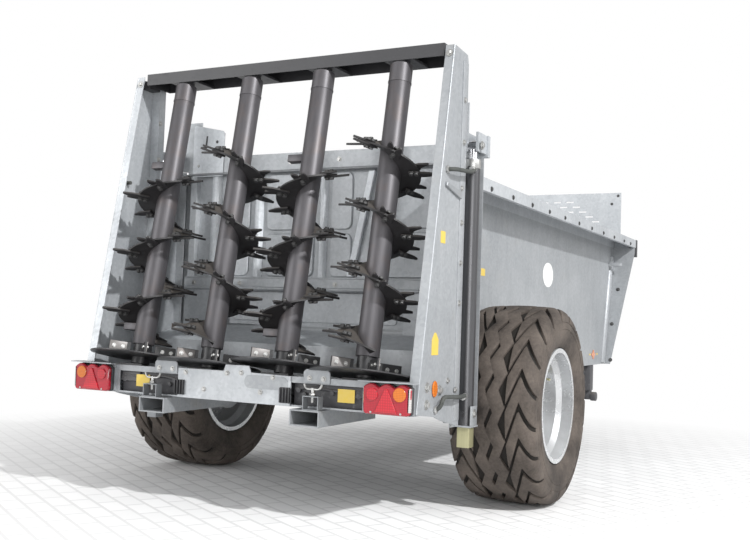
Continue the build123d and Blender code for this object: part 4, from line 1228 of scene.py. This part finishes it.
def addPaddles():
    s = paddleSettings
    for number in range(1, 5):
        bottom = -s["drops"][(number - 1) % 2] + 0.003
        plates, places = [], []
        for quarter in s["quarters"]:
            turn = turned(quarter, "Z")
            (near, far), (footNear, footFar) = s["plate"], s["foot"]
            plates += [placed(newBlock((near, 0.004, bottom + 0.006), (far, 0.0085, bottom + 0.060)), turn),
                       placed(newBlock((footNear, -0.018, bottom), (footFar, 0.018, bottom + 0.005)), turn)]
            places += [turn @ Matrix.Translation((across, out, bottom + 0.036)) @ turned(degrees, "X")
                       for across in s["bolts"] for degrees, out in ((90, -0.004), (-90, 0.0085))]
        bolt = boltMaster(0.0075, 0.006, 1.3)
        bolts = joined(copyTo(bolt, places), f"paddleBolts{number}")
        remove(bolt)
        finishedOnBeater(joined(plates, f"paddlePlates{number}"), paddleSteel, number)
        finishedOnBeater(bolts, zincBolt, number)


addPaddles()
print("paddles")

# hitch, jack, ram and the rigid oil pipes
hitchSettings = {
    "hitchBolts": [(x, 4.725, z) for x in (-0.056, 0.056) for z in (0.404, 0.450, 0.496)]
                  + [(-0.062, 4.705, 0.543), (0.062, 4.705, 0.543)],
    "standBolts": [(x, y, 0.572) for x in (0.130, 0.215) for y in (3.785, 3.935)],
    "jack": -0.310,
    "ramHeight": 1.050,
    "grip": [(4.082, 0.0155), (4.082, 0.019), (4.086, 0.021), (4.155, 0.019), (4.160, 0.017),
             (4.160, 0.0155)],
    "gland": [(2.775, 0.074), (2.775, 0.083), (2.779, 0.086), (2.815, 0.086), (2.819, 0.083),
              (2.819, 0.074)],
    "ports": (2.880, 3.700),
    "backPipe": [(0, 2.880, 1.130), (0, 2.880, 1.162), (0.045, 2.960, 1.162), (0.045, 3.660, 1.162),
                 (0.128, 3.740, 1.162), (0.128, 3.800, 0.640), (0.128, 4.030, 0.580), (0.075, 4.500, 0.580),
                 (0.075, 4.600, 0.580)],
    "forePipe": [(0, 3.700, 1.130), (0, 3.700, 1.162), (-0.128, 3.740, 1.162), (-0.128, 3.800, 0.640),
                 (-0.128, 4.030, 0.580), (-0.075, 4.500, 0.580), (-0.075, 4.600, 0.580)],
    "railPipe": (0.437, 2.680, -0.300),
    "holders": (-0.150, 0.450, 1.050, 1.650, 2.250),
}


def addHitch():
    s = hitchSettings
    alongY = turned(90, "Z")
    boltsAt([facing(at(*point), (0, 1, 0)) for point in s["hitchBolts"]], 0.0125, 0.010, "hitchBolts",
            zincBolt)
    boltsOnBothSides([facing(at(*point), (0, 0, 1)) for point in s["standBolts"]], 0.011, 0.009,
                     "standBolts", zincBolt)

    # jack: soft grip on the crank, cap on the sleeve, grease nipple
    grip = newRing(s["grip"], 32, Matrix.Translation((s["jack"], axleY, 1.060)) @ alongY)
    finished(joined([grip], "crankGrip"), castPaint)
    cap = newBlock(at(s["jack"] - 0.0445, 3.9055, 0.952), at(s["jack"] + 0.0445, 3.9945, 0.968), 0.003)
    finished(joined([cap], "jackCap"), galvanised)
    nipple = newRod(0.005, at(-0.357, 3.950, 0.800), at(-0.349, 3.950, 0.800), 6)
    finished(joined([nipple], "greaseNipple"), yellowZinc)

    # ram: gland ring, its two ports, and pipes to the couplings by the hitch
    gland = newRing(s["gland"], 56, Matrix.Translation((0, axleY, s["ramHeight"])) @ alongY)
    finished(joined([gland], "ramGland"), darkPaint)
    ports = [newRod(0.020, at(0, y, 1.115), at(0, y, 1.140), 6, 0.002) for y in s["ports"]]
    for radius, rear, front, vertices in ((0.015, 4.590, 4.665, 6), (0.012, 4.665, 4.690, 24)):
        ports += [newRod(radius, at(x, rear, 0.580), at(x, front, 0.580), vertices, 0.002)
                  for x in (-0.075, 0.075)]
    finished(joined(ports, "oilCouplings"), zincBolt)
    pipes = [newPipe([at(*point) for point in s[key]], 0.009, bend)
             for key, bend in (("backPipe", 0.030), ("forePipe", 0.026))]
    finished(joined(pipes, "ramPipes"), hoseRubber)
    bands = [newBlock(at(0.086, 4.290, 0.558), at(0.126, 4.320, 0.592), 0.003),
             newBlock(at(0.108, 4.060, 0.558), at(0.150, 4.090, 0.592), 0.003)]
    bothSides(joined(bands, "pipeBands"), galvanised)

    # two lines along the right rail to the block that feeds the gate's cylinders
    x, front, rear = s["railPipe"]
    lines = [newPipe([at(x, front, z), at(x, rear, z)], 0.008) for z in (0.672, 0.706)]
    finished(joined(lines, "railPipes"), hoseRubber)
    holders = [newBlock(at(0.424, y, 0.655), at(0.4505, y + 0.030, 0.722), 0.004) for y in s["holders"]]
    holders += [newBlock(at(0.385, -0.390, 0.645), at(0.4505, -0.290, 0.735), 0.005),
                newBlock(at(0.395, 2.660, 0.650), at(0.4505, 2.730, 0.730), 0.005)]
    finished(joined(holders, "pipeHolders"), castPaint)


addHitch()
print("hitch and pipes")

# camera, floor and light
cameraSettings = {
    "place": (2.594, axleY - 4.838, 0.930),
    "turn": math.radians(27.05),      # to the left of the direction of travel
    "lift": math.radians(2.85),
    "roll": 1.96,
    "lens": 45.87,
    "sensor": 36.0,
    "reach": 200,
}


def addCamera():
    s = cameraSettings
    camera = bpy.data.objects.new("camera", bpy.data.cameras.new("camera"))
    bpy.context.scene.collection.objects.link(camera)
    look = Vector((-math.sin(s["turn"]) * math.cos(s["lift"]), math.cos(s["turn"]) * math.cos(s["lift"]),
                   math.sin(s["lift"])))
    aim = look.to_track_quat("-Z", "Y").to_matrix().to_4x4()
    camera.matrix_world = Matrix.Translation(s["place"]) @ aim @ turned(s["roll"], "Z")
    camera.data.lens = s["lens"]
    camera.data.sensor_width = s["sensor"]
    camera.data.clip_end = s["reach"]
    bpy.context.scene.camera = camera


stageSettings = {
    "floorSize": 80.0,
    "floorColour": (0.87, 0.87, 0.87),
    "paving": 2.4,
    "pavingTurn": math.radians(31),
    "fadeFrom": 1.9,       # the floor turns to plain white between these distances from its middle
    "fadeTo": 4.3,
    "middle": (0.3, -1.1),
    "skyLight": 0.56,
}


def addStage():
    s = stageSettings
    deselectAll()
    bpy.ops.mesh.primitive_plane_add(size=s["floorSize"], location=(0, 0, -0.001))
    floor = bpy.context.object
    floor.name = "floor"
    material, tree, shader = newMaterial("floorFinish")
    point = objectPoint(tree)
    laid = newNode(tree, "Mapping", {"Rotation": (0, 0, s["pavingTurn"]), "Vector": point})
    brick = newNode(tree, "TexBrick", {"Scale": s["paving"], "Mortar Size": 0.02, "Color1": s["floorColour"],
                                       "Color2": scaled(s["floorColour"], 0.93),
                                       "Mortar": scaled(s["floorColour"], 0.78),
                                       "Vector": laid.outputs["Vector"]})
    wire(tree, shader, {"Roughness": 0.9, "Specular IOR Level": 0.1, "Base Color": brick.outputs["Color"]})
    plain = newNode(tree, "Emission", {"Color": (1, 1, 1), "Strength": 1.0})
    offX = maths(tree, "SUBTRACT", axisOf(tree, point, "X"), s["middle"][0])
    offY = maths(tree, "SUBTRACT", axisOf(tree, point, "Y"), s["middle"][1])
    apart = maths(tree, "SQRT", maths(tree, "ADD", times(tree, offX, offX), times(tree, offY, offY)))
    fade = spread(tree, apart, 0.0, 1.0, s["fadeFrom"], s["fadeTo"])
    mixer = newNode(tree, "MixShader", {"Fac": fade, 1: shader.outputs["BSDF"], 2: plain.outputs["Emission"]})
    output = next(node for node in tree.nodes if node.type == "OUTPUT_MATERIAL")
    wire(tree, output, {"Surface": mixer.outputs["Shader"]})
    floor.data.materials.append(material)

    world = bpy.data.worlds.new("softLight")
    bpy.context.scene.world = world
    world.use_nodes = True
    tree = world.node_tree
    path = newNode(tree, "LightPath", {})
    seen = maths(tree, "MAXIMUM", path.outputs["Is Camera Ray"], path.outputs["Is Transmission Ray"])
    strength = spread(tree, seen, s["skyLight"], 1.0)
    wire(tree, tree.nodes["Background"], {"Color": (1, 1, 1), "Strength": strength})


# name, place, target, size and watts of each lamp of the scene
lampTable = (
    ("keyLight", (11.0, -7.2, 9.6), (0, -1.5, 0.8), 0.4, 2100),
    ("fillLight", (-5.5, -9.0, 3.2), (0, -2.0, 0.9), 5.0, 330),
    ("sideLight", (9.0, -1.0, 5.0), (0, 0, 1.0), 5.0, 200),
    ("rearLight", (4.5, -9.0, 1.6), (-0.8, -2.8, 1.2), 3.0, 175),
)


def addLamp(name, place, target, size, power):
    light = bpy.data.lights.new(name, "AREA")
    light.energy = power
    light.size = size
    lamp = bpy.data.objects.new(name, light)
    bpy.context.scene.collection.objects.link(lamp)
    aim = (Vector(target) - Vector(place)).to_track_quat("-Z", "Y").to_matrix().to_4x4()
    lamp.matrix_world = Matrix.Translation(place) @ aim


addCamera()
addStage()
for lampRow in lampTable:
    addLamp(*lampRow)
bpy.context.scene.view_settings.view_transform = "Standard"
print("camera, floor and light")
